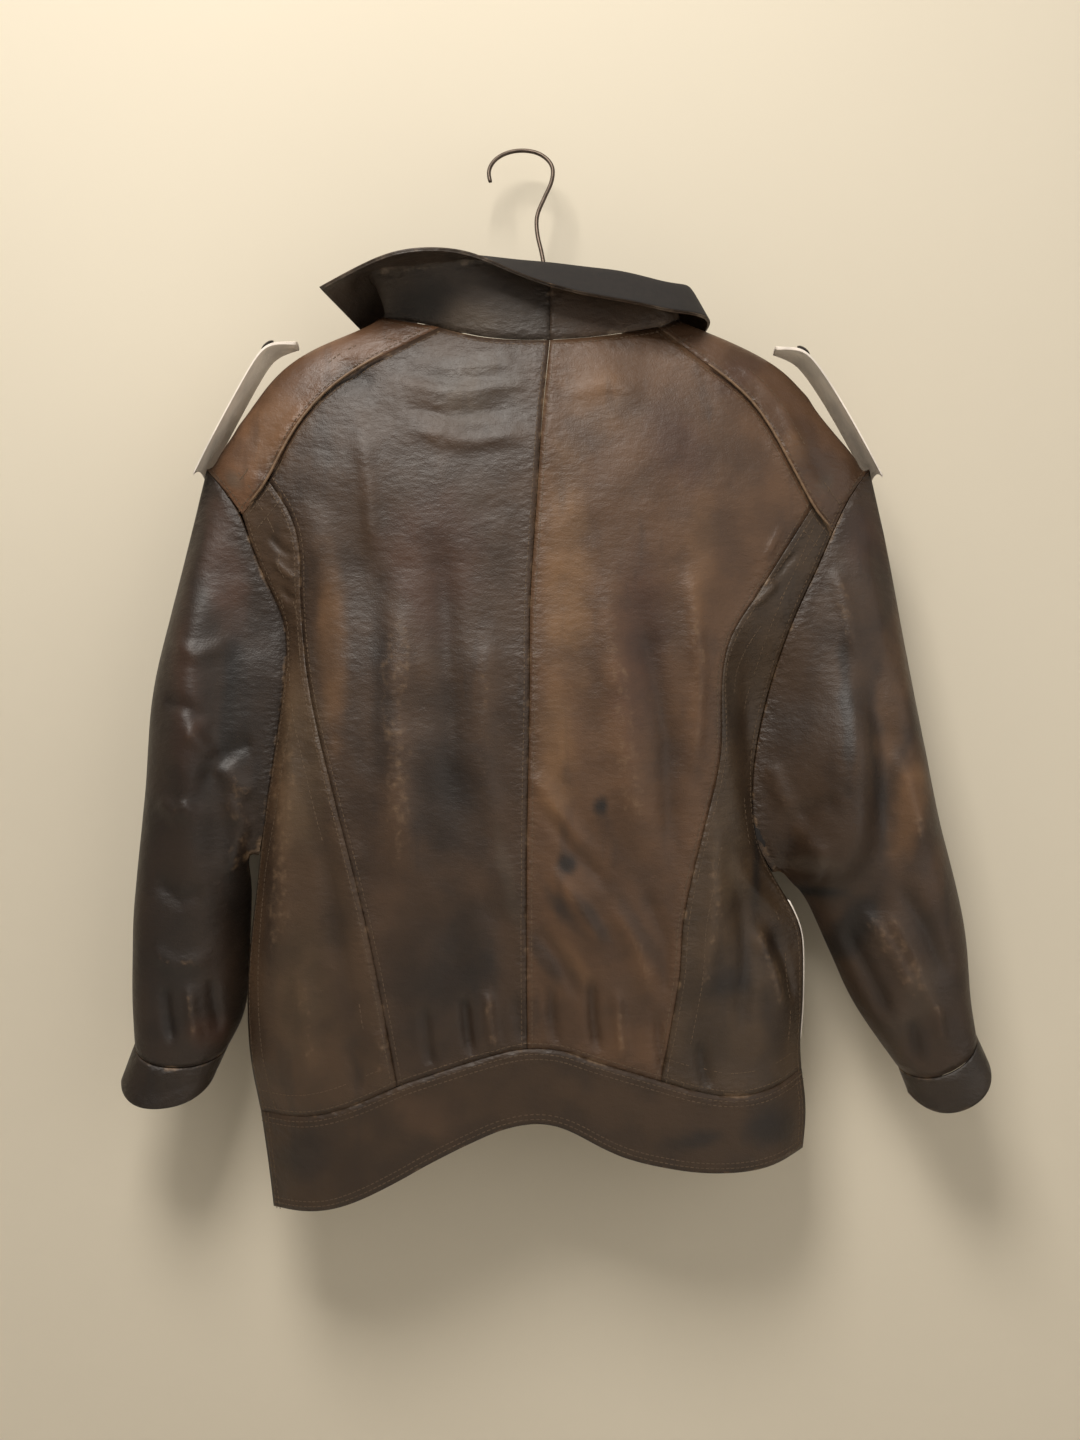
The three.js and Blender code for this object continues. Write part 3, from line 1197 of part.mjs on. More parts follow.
// The pull: an eye round the slider's bar and a flat tongue that hangs from it.
function pullTab() {
  const half = TAB_THICKNESS / 2;
  const spread = Math.asin(half / TAB_EYE_RADIUS);
  const outline = new THREE.Shape();
  outline.absarc(0, 0, TAB_EYE_RADIUS, -Math.PI / 2 + spread, 1.5 * Math.PI - spread, false);
  outline.lineTo(-half, -TAB_LENGTH);
  outline.lineTo(half, -TAB_LENGTH);
  outline.closePath();
  const bore = new THREE.Path();
  bore.absarc(0, 0, TAB_BORE, 0, 2 * Math.PI, true);
  outline.holes.push(bore);
  const tab = new THREE.ExtrudeGeometry(outline, { depth: TAB_WIDTH, bevelEnabled: false, curveSegments: 10 });
  tab.translate(0, 0, -TAB_WIDTH / 2);
  tab.rotateX(Math.PI / 2).rotateZ(Math.PI / 2).rotateX(CHEST_SLOPE);
  return welded(tab.translate(CENTRE_FRONT, pinY, pinZ));
}

// ---------------------------------------------------------------- hanger and hook

const HANGER_LINE = [
  [-180, -191], [-165, -183], [-138, -173], [-90, -161], [-40, -155],
  [17.5, -154], [75, -155], [122, -163], [152, -174], [176, -185], [190, -193],
];
const HANGER_HALF_DEPTH = 6.5;
const HANGER_HALF_HEIGHT = 5.5;
const HANGER_SIDES = 10;
const SHANK_BORE = WIRE_RADIUS + 0.3;
const SHANK_DEPTH = 7;
const SHANK_BOTTOM_GAP = 0.5;
const SHANK_CLEAR_HEIGHT = 8;

// A plain contoured bar, with a blind hole in the middle for the hook's shank.
function hangerBar() {
  const rings = HANGER_LINE.map(([x, z], i) => {
    const before = HANGER_LINE[Math.max(0, i - 1)];
    const after = HANGER_LINE[Math.min(HANGER_LINE.length - 1, i + 1)];
    const tilt = Math.atan2(after[1] - before[1], after[0] - before[0]);
    const size = i === 0 || i === HANGER_LINE.length - 1 ? 0.6 : 1;
    const ring = [];
    for (let k = 0; k < HANGER_SIDES; k += 1) {
      const angle = (2 * Math.PI * k) / HANGER_SIDES;
      const up = HANGER_HALF_HEIGHT * size * Math.cos(angle);
      ring.push(new THREE.Vector3(
        x - up * Math.sin(tilt),
        HANGER_CENTRE[1] + HANGER_HALF_DEPTH * size * Math.sin(angle),
        z + up * Math.cos(tilt),
      ));
    }
    return ring;
  });
  const drill = new THREE.CylinderGeometry(SHANK_BORE, SHANK_BORE, 2 * SHANK_DEPTH, 24);
  const topZ = HANGER_CENTRE[2] + HANGER_HALF_HEIGHT;
  drill.rotateX(Math.PI / 2).translate(HANGER_CENTRE[0], HANGER_CENTRE[1], topZ);
  return fromSolid(toSolid(tubeFrom(rings)).subtract(toSolid(drill)));
}

// The hook leans with the hanger, so y follows z down to the bar. Its inner top is z = 0.
const HOOK_LINE = [
  [-28.6, -28.2], [-30.4, -18], [-25.4, -7.2], [-14.3, 0], [0, WIRE_RADIUS], [13, -1.6],
  [22.6, -12], [22.6, -26], [16, -43], [10, -60], [10.6, -77], [14, -93], [17, -115], [17.5, -135],
];
const HOOK_SIDES = 8;
const HOOK_STEPS = 40;

function hookWire() {
  const shankTop = HANGER_CENTRE[2] + HANGER_HALF_HEIGHT;
  const lean = HANGER_CENTRE[1] / (shankTop + SHANK_CLEAR_HEIGHT);
  const points = HOOK_LINE.map(([x, z]) => new THREE.Vector3(x, Math.min(0, z - WIRE_RADIUS) * lean, z));
  points.push(new THREE.Vector3(HANGER_CENTRE[0], HANGER_CENTRE[1], shankTop - SHANK_DEPTH + SHANK_BOTTOM_GAP));
  const path = new THREE.CatmullRomCurve3(points, false, "centripetal");
  const rings = [];
  for (let i = 0; i <= HOOK_STEPS; i += 1) {
    const centre = path.getPointAt(i / HOOK_STEPS);
    const along = path.getTangentAt(i / HOOK_STEPS);
    const side = new THREE.Vector3(0, 1, 0).addScaledVector(along, -along.y).normalize();
    const up = along.clone().cross(side);
    const ring = [];
    for (let k = 0; k < HOOK_SIDES; k += 1) {
      const angle = (2 * Math.PI * k) / HOOK_SIDES;
      ring.push(
        centre.clone()
          .addScaledVector(side, WIRE_RADIUS * Math.cos(angle))
          .addScaledVector(up, WIRE_RADIUS * Math.sin(angle)),
      );
    }
    rings.push(ring);
  }
  return tubeFrom(rings);
}

// ---------------------------------------------------------------- finishes

const finish = (color, roughness, metalness = 0) => new THREE.MeshStandardMaterial({ color, roughness, metalness });

const FINISHES = {
  darkLeather: () => finish(0x3a2a1f, 0.6),
  tanLeather: () => finish(0x6b4f33, 0.62),
  yokeLeather: () => finish(0x513a2a, 0.5),
  sleeveLeather: () => finish(0x2a1f1b, 0.6),
  bandLeather: () => finish(0x40301f, 0.65),
  collarLeather: () => finish(0x3c352b, 0.6),
  piping: () => finish(0x6a523c, 0.5),
  tape: () => finish(0x1d1a18, 0.9),
  metal: () => finish(0x8a8078, 0.35, 1),
  horn: () => finish(0x1c1714, 0.4),
  hanger: () => finish(0x2a2522, 0.45),
};

// ---------------------------------------------------------------- the jacket

const group = new THREE.Group();
group.name = "leather_jacket";

function add(name, geometry, material) {
  const mesh = new THREE.Mesh(geometry, material);
  mesh.name = name;
  group.add(mesh);
  return mesh;
}

add("back_left", bodyPanel(backLeft), FINISHES.darkLeather());
add("back_right", bodyPanel(backRight), FINISHES.tanLeather());
add("side_back_left", bodyPanel(sideBackLeft), FINISHES.darkLeather());
add("side_back_right", bodyPanel(sideBackRight), FINISHES.darkLeather());
add("yoke_left", bodyPanel(yokeLeft), FINISHES.yokeLeather());
add("yoke_right", bodyPanel(yokeRight), FINISHES.yokeLeather());
add("front_left", bodyPanel(frontLeft), FINISHES.darkLeather());
add("front_right", bodyPanel(frontRight), FINISHES.darkLeather());
add("waistband_back", bodyPanel(bandBack), FINISHES.bandLeather());
add("waistband_front_left", bodyPanel(bandFrontLeft), FINISHES.bandLeather());
add("waistband_front_right", bodyPanel(bandFrontRight), FINISHES.bandLeather());
add(
  "waist_tab_right",
  bodyPanel(waistTab, LAID_ON_GAP, LAID_ON_GAP + 2 * LEATHER, 1),
  FINISHES.bandLeather(),
);

for (const side of ["left", "right"]) {
  add(`sleeve_back_${side}`, sleeveWall(sleeves[side].back), FINISHES.sleeveLeather());
  add(`sleeve_front_${side}`, sleeveWall(sleeves[side].front), FINISHES.sleeveLeather());
}
add("cuff_left", cuffWall(LEFT_SLEEVE, LEFT_CUFF_END), FINISHES.sleeveLeather());
add("cuff_right", cuffWall(RIGHT_SLEEVE, RIGHT_CUFF_END), FINISHES.sleeveLeather());

const collarColumns = collarPoints[0].length - 1;
add(
  "top_collar",
  collarWall(0, collarColumns, -COLLAR_HALF_GAP - COLLAR_LEATHER, -COLLAR_HALF_GAP),
  FINISHES.collarLeather(),
);
add(
  "under_collar_left",
  collarWall(0, collarMiddle, COLLAR_HALF_GAP, COLLAR_HALF_GAP + COLLAR_LEATHER),
  FINISHES.collarLeather(),
);
add(
  "under_collar_right",
  collarWall(collarMiddle, collarColumns, COLLAR_HALF_GAP, COLLAR_HALF_GAP + COLLAR_LEATHER),
  FINISHES.collarLeather(),
);

add("yoke_piping_left", yokePiping(joined(leftYokeInner, leftYokeOuter).slice(1, -1)), FINISHES.piping());
add("yoke_piping_right", yokePiping(joined(rightYokeInner, rightYokeOuter).slice(1, -1)), FINISHES.piping());

for (const [side, line] of [["left", LEFT_EPAULETTE], ["right", RIGHT_EPAULETTE]]) {
  add(`epaulette_${side}`, epauletteWall(line), FINISHES.yokeLeather());
  const button = add(`epaulette_button_${side}`, domedButton(), FINISHES.horn());
  const [x, z] = line[3];
  const [nextX, nextZ] = line[4];
  button.position.set((x + nextX) / 2, EPAULETTE_Y, (z + nextZ) / 2);
  button.rotation.y = -Math.atan2(nextZ - z, nextX - x) + (side === "left" ? 0 : Math.PI);
  button.translateZ(1.2);
}

const chainLeft = CENTRE_FRONT - zipHalf;
const chainRight = CENTRE_FRONT + zipHalf;
add("zip_chain", zipStrip(chainLeft, chainRight, -ZIP_CHAIN_DEPTH, 0), FINISHES.metal());
add(
  "zip_tape_left",
  zipStrip(chainLeft - LAID_ON_GAP - ZIP_TAPE_WIDTH, chainLeft - LAID_ON_GAP, tapeBottom, tapeTop),
  FINISHES.tape(),
);
add(
  "zip_tape_right",
  zipStrip(chainRight + LAID_ON_GAP, chainRight + LAID_ON_GAP + ZIP_TAPE_WIDTH, tapeBottom, tapeTop),
  FINISHES.tape(),
);
add("zip_slider", zipSlider(), FINISHES.metal());
add("pull_tab", pullTab(), FINISHES.metal());

add("pocket_welt_left", bodyPanel(weltLeft, LAID_ON_GAP, LAID_ON_GAP + WELT_THICKNESS, 1), FINISHES.bandLeather());
add("pocket_welt_right", bodyPanel(weltRight, LAID_ON_GAP, LAID_ON_GAP + WELT_THICKNESS, 1), FINISHES.bandLeather());

add("hanger", hangerBar(), FINISHES.hanger());
add("hook", hookWire(), FINISHES.metal());

export default group;
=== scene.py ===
"""The look of a worn leather blouson that hangs on a plain hanger, its back to the viewer.

Every piece of cloth is the thin wall of its own solid in the frame, made finer and smoother,
with its small folds, stains and wear placed on it, and painted shade and highlights in its
colour. Places are in millimetres in the row's frame: the origin is the inner top of the hook, +Z is up and
the back faces -Y.
"""

import logging
import math
from dataclasses import dataclass
from enum import Enum
from typing import Optional, Sequence, Union

import bmesh
import bpy
import numpy as np
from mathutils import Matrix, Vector
from mathutils.bvhtree import BVHTree
from mathutils.kdtree import KDTree


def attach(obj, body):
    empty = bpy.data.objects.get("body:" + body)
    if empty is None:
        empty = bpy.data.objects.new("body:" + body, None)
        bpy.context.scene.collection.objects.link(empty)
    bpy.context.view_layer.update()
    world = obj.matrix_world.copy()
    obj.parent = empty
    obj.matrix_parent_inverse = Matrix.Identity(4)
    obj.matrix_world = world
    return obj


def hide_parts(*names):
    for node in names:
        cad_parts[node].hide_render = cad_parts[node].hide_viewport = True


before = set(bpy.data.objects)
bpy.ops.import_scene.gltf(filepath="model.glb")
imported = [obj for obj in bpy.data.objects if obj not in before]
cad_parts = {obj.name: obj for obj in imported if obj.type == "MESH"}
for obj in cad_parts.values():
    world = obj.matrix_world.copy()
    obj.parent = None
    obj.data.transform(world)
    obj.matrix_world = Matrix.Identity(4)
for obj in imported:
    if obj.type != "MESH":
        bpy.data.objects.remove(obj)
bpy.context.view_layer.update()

LOG = logging.getLogger("leather_jacket")
MM = 0.001
GARMENT = "jacket"
MID_PLANE = -46.0  # halfway through the jacket, in mm along Y
FRONT_BAND, BACK_BAND = 8, 10  # how far the change from front to back reaches either way, in mm
FOLD_DEPTH = 1.7  # deepens every listed fold alike
DYE_DEPTH = np.array((0.86, 0.78, 0.70))  # darkens every dye alike
NOISE_SHIFT = (97.3, 41.7)  # keeps the noise's own centre off the garment
NOISE_WEIGHTS = (127.1, 311.7, 74.7)
NOISE_SPREAD = 43758.5453
NO_EDGE = 99.0  # a distance in mm that is far from every seam
WELD = 0.02  # points nearer than this, in mm, are one
FLAT_PAIR, SQUARE_PAIR = 1.2, 1.5  # how bent and how skewed a joined pair of triangles may be
RIM_CORNER = 0.8  # a rim's edge sharper than this, in radians, stays sharp

Point = tuple[float, float]
Colour = tuple[float, float, float]
Grid = np.ndarray


# ------------------------------------------------------------------ small maths


def smooth(low: float, high: float, value: Grid) -> Grid:
    """Rises from 0 at low to 1 at high, or falls where high is below low."""
    t = np.clip((value - low) / (high - low), 0, 1)
    return t * t * (3 - 2 * t)


def value_noise(x: Grid, z: Grid, size: float, seed: int) -> Grid:
    """Soft random values from 0 to 1 over a plane.

    Args:
        x: places across, in mm.
        z: places up, in mm.
        size: the distance between the random values, in mm.
        seed: picks the pattern.

    Returns:
        One value a place.
    """
    u, v = x / size + NOISE_SHIFT[0], z / size + NOISE_SHIFT[1]
    iu, iv = np.floor(u), np.floor(v)
    fu, fv = u - iu, v - iv
    fu, fv = fu * fu * (3 - 2 * fu), fv * fv * (3 - 2 * fv)

    def corner(a: Grid, b: Grid) -> Grid:
        """A fixed random number for each whole place."""
        n = np.sin(a * NOISE_WEIGHTS[0] + b * NOISE_WEIGHTS[1] + seed * NOISE_WEIGHTS[2]) * NOISE_SPREAD
        return n - np.floor(n)

    top = corner(iu, iv) * (1 - fu) + corner(iu + 1, iv) * fu
    bottom = corner(iu, iv + 1) * (1 - fu) + corner(iu + 1, iv + 1) * fu
    return top * (1 - fv) + bottom * fv


def seen_share(y: Grid) -> Grid:
    """1 on the back of the jacket, which is seen, and 0 on its hidden front."""
    return smooth(MID_PLANE + FRONT_BAND, MID_PLANE - BACK_BAND, y)


def near_line(x: Grid, z: Grid, line: Sequence[Point]) -> tuple[Grid, Grid]:
    """How far places are from a line, and the share of its length passed there.

    Args:
        x: places across, in mm.
        z: places up, in mm.
        line: the line's points.

    Returns:
        The distance in mm and the share from 0 to 1.
    """
    points = np.asarray(line, float)
    steps = np.linalg.norm(np.diff(points, axis=0), axis=1)
    best = np.full(np.shape(x), np.inf)
    along = np.zeros_like(best)
    travelled = 0.0
    for start, end, length in zip(points[:-1], points[1:], steps):
        dx, dz = end - start
        t = np.clip(((x - start[0]) * dx + (z - start[1]) * dz) / (length * length), 0, 1)
        away = np.hypot(x - start[0] - t * dx, z - start[1] - t * dz)
        along = np.where(away < best, travelled + t * length, along)
        best = np.minimum(best, away)
        travelled += length
    return best, along / steps.sum()


# ------------------------------------------------------------------ folds, dye and painted shade


@dataclass(frozen=True)
class Fold:
    """A soft ridge (height above 0) or trough (below 0) along a line."""

    line: tuple[Point, ...]
    width: float
    height: float

    def lift(self, x: Grid, z: Grid) -> Grid:
        """How far the fold lifts the cloth at each place, in mm."""
        away, share = near_line(x, z, self.line)
        ends = smooth(0, 0.25, share) * smooth(0, 0.25, 1 - share)
        return FOLD_DEPTH * self.height * np.exp(-((away / self.width) ** 2)) * ends


@dataclass(frozen=True)
class Patch:
    """A soft-edged area of another colour: a stain, a rubbed place, a streak, or painted shade, shadow or
    highlight.
    """

    centre: Point
    reach: Point
    tilt: float
    dye: Colour
    strength: float

    def share(self, x: Grid, z: Grid) -> Grid:
        """How much of the patch's dye each place takes, from 0 to 1."""
        turn = math.radians(self.tilt)
        dx, dz = x - self.centre[0], z - self.centre[1]
        across = (dx * math.cos(turn) + dz * math.sin(turn)) / self.reach[0]
        up = (dz * math.cos(turn) - dx * math.sin(turn)) / self.reach[1]
        ragged = 0.35 * (value_noise(x, z, 18, 3) - 0.5) + 0.2 * (value_noise(x, z, 6, 5) - 0.5)
        return self.strength * smooth(1.15, 0.3, np.hypot(across, up) + ragged)


def folds(*rows: tuple[Sequence[Point], float, float]) -> tuple[Fold, ...]:
    """Folds from rows of line, width and height."""
    return tuple(Fold(tuple(line), width, height) for line, width, height in rows)


def pleats(*rows: tuple[float, float, float, float]) -> tuple[Fold, ...]:
    """Short upright folds from rows of x, top, bottom and height."""
    return tuple(Fold(((x, top), (x + 2, (top + bottom) / 2), (x + 6, bottom)), 4.5, height)
                 for x, top, bottom, height in rows)


def total_lift(rows: Sequence[Fold], x: Grid, z: Grid) -> Grid:
    """The sum of the folds' lifts at each place, in mm."""
    return sum((fold.lift(x, z) for fold in rows), np.zeros(np.shape(x)))


BACK_FOLDS = folds(
    # wrinkles across the shoulder blades
    ([(-100, -190), (-60, -197), (-5, -192)], 3.5, 1.1),
    ([(-110, -205), (-55, -217), (5, -209)], 4, 1.6),
    ([(-105, -225), (-60, -235), (-5, -230)], 4, -1.4),
    ([(-95, -245), (-45, -258), (5, -250)], 4.5, 1.4),
    ([(30, -220), (65, -210), (100, -220)], 5, 1.1),
    # long soft folds down the back
    ([(-130, -240), (-122, -290), (-118, -350)], 6, 1.6),
    ([(-95, -350), (-100, -475), (-90, -615)], 13, 2.4),
    ([(-65, -320), (-58, -460), (-53, -575)], 11, -2.4),
    ([(-28, -395), (-32, -505), (-18, -575)], 9, 1.6),
    ([(60, -350), (75, -460), (90, -585)], 12, 2.2),
    ([(90, -380), (112, -490), (115, -600)], 9, -2.6),
    ([(130, -350), (137, -445), (132, -535)], 7, 2),
    # slanting drag lines towards the waistband
    ([(3, -510), (28, -550), (53, -585)], 7, 2),
    ([(12, -538), (40, -577), (68, -610)], 6, -1.9),
    ([(18, -586), (44, -620), (64, -656)], 6, 1.9),
    ([(8, -633), (30, -663), (47, -699)], 6, -1.8),
    ([(69, -616), (90, -655), (100, -700)], 7, 1.8),
    ([(90, -600), (110, -647), (112, -702)], 6, -1.7),
    # the side panels
    ([(-182, -413), (-188, -538), (-196, -694)], 12, 2.4),
    ([(-157, -554), (-143, -647), (-129, -725)], 8, -2.2),
    ([(-174, -663), (-170, -710), (-165, -764)], 7, 2),
    ([(153, -538), (150, -616), (137, -717)], 8, 1.8),
    ([(168, -600), (175, -663), (170, -733)], 7, -2),
    ([(182, -636), (197, -668), (209, -710)], 6, 3),
    ([(196, -643), (210, -675), (217, -706)], 5, -2.4),
    # the yokes beside the armholes
    ([(-204, -257), (-188, -246), (-175, -226)], 4, 1.3),
    ([(-213, -281), (-201, -275), (-190, -264)], 3.5, -1.3),
    ([(-147, -183), (-134, -204), (-118, -204)], 5, -1.7),
    ([(204, -218), (214, -246), (220, -267)], 4, 1.5),
    ([(225, -257), (236, -275), (248, -289)], 3.5, -1.3),
    ([(170, -189), (189, -204), (203, -225)], 5, 1.3),
    # the ruched strips beside the armholes
    ([(-204, -328), (-193, -340), (-181, -348)], 3, -1.3),
    ([(-200, -348), (-190, -359), (-179, -365)], 3, 1.3),
    ([(-195, -370), (-187, -378), (-178, -382)], 3, -1.2),
    ([(208, -320), (197, -335), (189, -351)], 3, 1.4),
    ([(220, -339), (208, -351), (194, -370)], 3, -1.3),
    ([(203, -365), (189, -379), (175, -390)], 3, 1.3),
) + pleats(
    (-134, -718, -768, -2.6), (-114, -710, -760, 2.2), (-77, -694, -750, -2.2),
    (-46, -686, -740, -3), (-28, -682, -736, 2.6), (-6, -686, -730, -1.8),
    (20, -678, -731, -2.2), (52, -672, -739, -2.8), (72, -682, -745, 2.2),
    (104, -702, -756, -2.2), (138, -725, -769, -2.6),
)
FRONT_FOLDS = folds(
    ([(-60, -300), (-48, -430), (-40, -560)], 11, -2.4),
    ([(-150, -420), (-128, -540), (-118, -660)], 10, -2.4),
    ([(-175, -560), (-160, -640), (-150, -740)], 9, 2.2),
    ([(60, -320), (66, -450), (58, -580)], 11, -2.4),
    ([(180, -420), (158, -540), (150, -650)], 10, -2.2),
    ([(170, -640), (176, -700), (180, -756)], 7, 2.2),
) + pleats(
    (-90, -690, -760, -2.2), (-55, -690, -752, 2), (-30, -690, -745, -2),
    (50, -690, -745, 2), (85, -690, -750, -2.2), (120, -690, -756, 2),
)
LEFT_SLEEVE_FOLDS = folds(
    # a star of creases at the elbow
    ([(-242, -507), (-253, -493), (-267, -482)], 7, 1.8),
    ([(-242, -509), (-228, -498), (-213, -493)], 7, -1.8),
    ([(-241, -510), (-229, -524), (-213, -538)], 8, 2),
    ([(-243, -512), (-253, -528), (-259, -548)], 7, -1.7),
    ([(-235, -530), (-223, -558), (-234, -604)], 7, 3),
    # soft rings down the arm
    ([(-284, -413), (-256, -425), (-228, -413)], 6, 1.6),
    ([(-287, -460), (-265, -465), (-248, -478)], 6, -1.8),
    ([(-291, -538), (-274, -548), (-254, -543)], 7, 1.6),
    ([(-293, -600), (-271, -616), (-248, -610)], 7, -2),
    ([(-298, -655), (-276, -669), (-246, -665)], 6, 1.8),
) + pleats((-284, -682, -735, -2.4), (-265, -682, -735, 2.2), (-250, -678, -730, -2.2))
RIGHT_SLEEVE_FOLDS = folds(
    # a star of creases on the pouch
    ([(214, -552), (203, -530), (197, -507)], 7, 1.7),
    ([(214, -554), (231, -543), (248, -538)], 7, -1.5),
    ([(215, -556), (225, -574), (240, -587)], 7, 1.6),
    # long folds down the upper arm
    ([(245, -351), (256, -390), (261, -429)], 7, 1.8),
    ([(278, -320), (290, -382), (297, -445)], 8, -2),
    ([(290, -492), (306, -538), (317, -585)], 9, 2),
    # slanting folds into the cuff
    ([(264, -620), (287, -655), (314, -702)], 7, 3),
    ([(254, -636), (272, -671), (295, -718)], 6, -3),
    ([(293, -600), (317, -640), (336, -686)], 7, -2.4),
    ([(282, -620), (307, -663), (328, -718)], 6, 2.2),
) + pleats((308, -710, -750, -2.4), (326, -698, -735, 2))

DARK: Colour = (0.022, 0.015, 0.011)
BLACK: Colour = (0.010, 0.008, 0.007)
RED_BROWN: Colour = (0.064, 0.031, 0.019)
BROWN: Colour = (0.074, 0.043, 0.024)
OLIVE: Colour = (0.078, 0.054, 0.032)
TAN: Colour = (0.155, 0.088, 0.044)
GOLD: Colour = (0.180, 0.104, 0.050)
GREY: Colour = (0.095, 0.078, 0.062)
PALE: Colour = (0.270, 0.200, 0.140)


def patches(*rows: tuple[Point, Point, float, Colour, float]) -> tuple[Patch, ...]:
    """Patches from rows of centre, reach, tilt, dye and strength."""
    return tuple(Patch(*row) for row in rows)


BODY_PATCHES = patches(
    # left back: grey under the neck, red-brown in the middle, nearly black low down, with a painted
    # highlight on the strong low fold (grey, at x -12) and painted shade in its valley (black, at x -42)
    ((-42, -215), (48, 33), 0, GREY, 0.5), ((-136, -204), (23, 19), 20, DARK, 0.7),
    ((-150, -415), (15, 95), 3, TAN, 0.75), ((-73, -350), (47, 70), 0, RED_BROWN, 0.7),
    ((-109, -460), (12, 95), 2, DARK, 0.7), ((-56, -538), (44, 70), 0, DARK, 0.65),
    ((-65, -680), (47, 55), 0, DARK, 0.8), ((-42, -640), (23, 47), 14, BLACK, 0.5),
    ((-12, -600), (7, 47), 12, GREY, 0.35), ((-104, -600), (16, 62), -8, BROWN, 0.5),
    # right back: gold beside the centre seam, a painted highlight down the fold ridge at x 137 (tan), dark
    # streaks and small black spots
    ((33, -350), (24, 120), 0, GOLD, 0.85), ((25, -492), (17, 70), 0, GOLD, 0.6),
    ((60, -226), (35, 35), 0, TAN, 0.75), ((122, -258), (31, 47), 18, RED_BROWN, 0.7),
    ((90, -413), (26, 95), -4, RED_BROWN, 0.75), ((137, -350), (14, 70), -6, TAN, 0.6),
    ((60, -542), (7, 10), -12, BLACK, 0.95), ((34, -587), (8, 10), 14, BLACK, 0.9),
    ((28, -620), (8, 27), 36, DARK, 0.75), ((52, -628), (7, 31), 36, DARK, 0.6),
    ((16, -660), (7, 27), 34, DARK, 0.6), ((40, -663), (8, 27), 34, TAN, 0.6),
    ((90, -640), (9, 47), 30, DARK, 0.5), ((78, -694), (24, 31), 0, BROWN, 0.6),
    # the side panels
    ((-174, -507), (26, 95), 0, OLIVE, 0.7), ((-174, -680), (31, 70), 0, OLIVE, 0.6),
    ((-199, -616), (10, 95), 0, DARK, 0.5), ((161, -460), (12, 55), 0, GREY, 0.45),
    ((162, -577), (17, 62), 0, OLIVE, 0.8), ((159, -682), (28, 16), 0, DARK, 0.75),
    ((200, -702), (14, 47), 0, DARK, 0.5),
    # the yokes, redder, with pale scuffs
    ((-204, -250), (26, 47), -30, TAN, 0.55), ((-199, -275), (7, 4), -40, PALE, 0.6),
    ((-232, -284), (12, 7), -50, GREY, 0.6), ((169, -203), (31, 14), 42, RED_BROWN, 0.6),
    ((215, -258), (12, 20), 20, TAN, 0.6), ((240, -287), (12, 8), 40, GREY, 0.6),
    # painted shade in the valley behind the long standing fold
    ((186, -590), (6, 60), -4, BLACK, 0.8), ((197, -655), (9, 30), -20, DARK, 0.6),
    # the waistband
    ((-170, -819), (24, 26), 0, DARK, 0.75), ((-73, -784), (39, 19), -20, BROWN, 0.7),
    ((133, -805), (30, 9), 10, BLACK, 0.7), ((192, -796), (22, 24), 0, BLACK, 0.75),
)
SLEEVE_PATCHES = patches(
    # painted shadow under the pouch and painted shade along the long valleys (the black patches), among
    # patches of other dye
    ((226, -613), (36, 6), 0, BLACK, 0.95), ((278, -520), (8, 70), 4, BLACK, 0.6),
    ((-234, -470), (8, 85), -4, BLACK, 0.8), ((-230, -600), (10, 60), 0, BLACK, 0.6),
    ((-240, -350), (20, 62), 8, RED_BROWN, 0.7), ((-264, -460), (16, 95), 4, RED_BROWN, 0.45),
    ((-224, -476), (11, 55), 0, BLACK, 0.6), ((-274, -663), (24, 70), 0, BLACK, 0.5),
    ((-252, -725), (20, 16), 0, RED_BROWN, 0.6), ((271, -328), (20, 35), -10, RED_BROWN, 0.6),
    ((293, -452), (17, 70), -8, TAN, 0.5), ((304, -538), (18, 55), -12, TAN, 0.85),
    ((324, -600), (11, 39), -14, BROWN, 0.6), ((220, -590), (28, 8), 0, GREY, 0.5),
    ((262, -640), (16, 47), -30, BLACK, 0.8), ((313, -694), (19, 47), -24, GREY, 0.25),
    ((253, -460), (6, 78), 0, BLACK, 0.6),
)
COLLAR_PATCHES = patches(
    # painted shade on the collar leaf's shaded underside at the left (black)
    ((-81, -145), (31, 20), 20, BLACK, 0.75), ((-42, -156), (28, 17), 0, GREY, 0.5),
    # painted shadow in a strip under the leaf's piped edge (dark); the pale specks below are scuffs
    ((28, -168), (47, 11), 0, DARK, 0.4), ((75, -165), (39, 11), 0, BROWN, 0.5),
    ((33, -125), (4, 3), 0, PALE, 0.7), ((22, -136), (3, 2), 0, PALE, 0.7),
)


# ------------------------------------------------------------------ shader writing

Value = Union[float, "Sock"]


class Sock:
    """A number in a shader that can be worked with like one in Python."""

    def __init__(self, nodes: "Nodes", socket: bpy.types.NodeSocket) -> None:
        """Wraps an output socket of a material's nodes."""
        self.nodes, self.socket = nodes, socket

    def _maths(self, operation: str, a: Value, b: Value) -> "Sock":
        """The result of a Math node on two values."""
        return self.nodes.make("ShaderNodeMath", {"operation": operation}, {0: a, 1: b})

    def __add__(self, other: Value) -> "Sock":
        """This plus the other."""
        return self._maths("ADD", self, other)

    __radd__ = __add__

    def __sub__(self, other: Value) -> "Sock":
        """This less the other."""
        return self._maths("SUBTRACT", self, other)

    def __rsub__(self, other: Value) -> "Sock":
        """The other less this."""
        return self._maths("SUBTRACT", other, self)

    def __mul__(self, other: Value) -> "Sock":
        """This times the other."""
        return self._maths("MULTIPLY", self, other)

    __rmul__ = __mul__


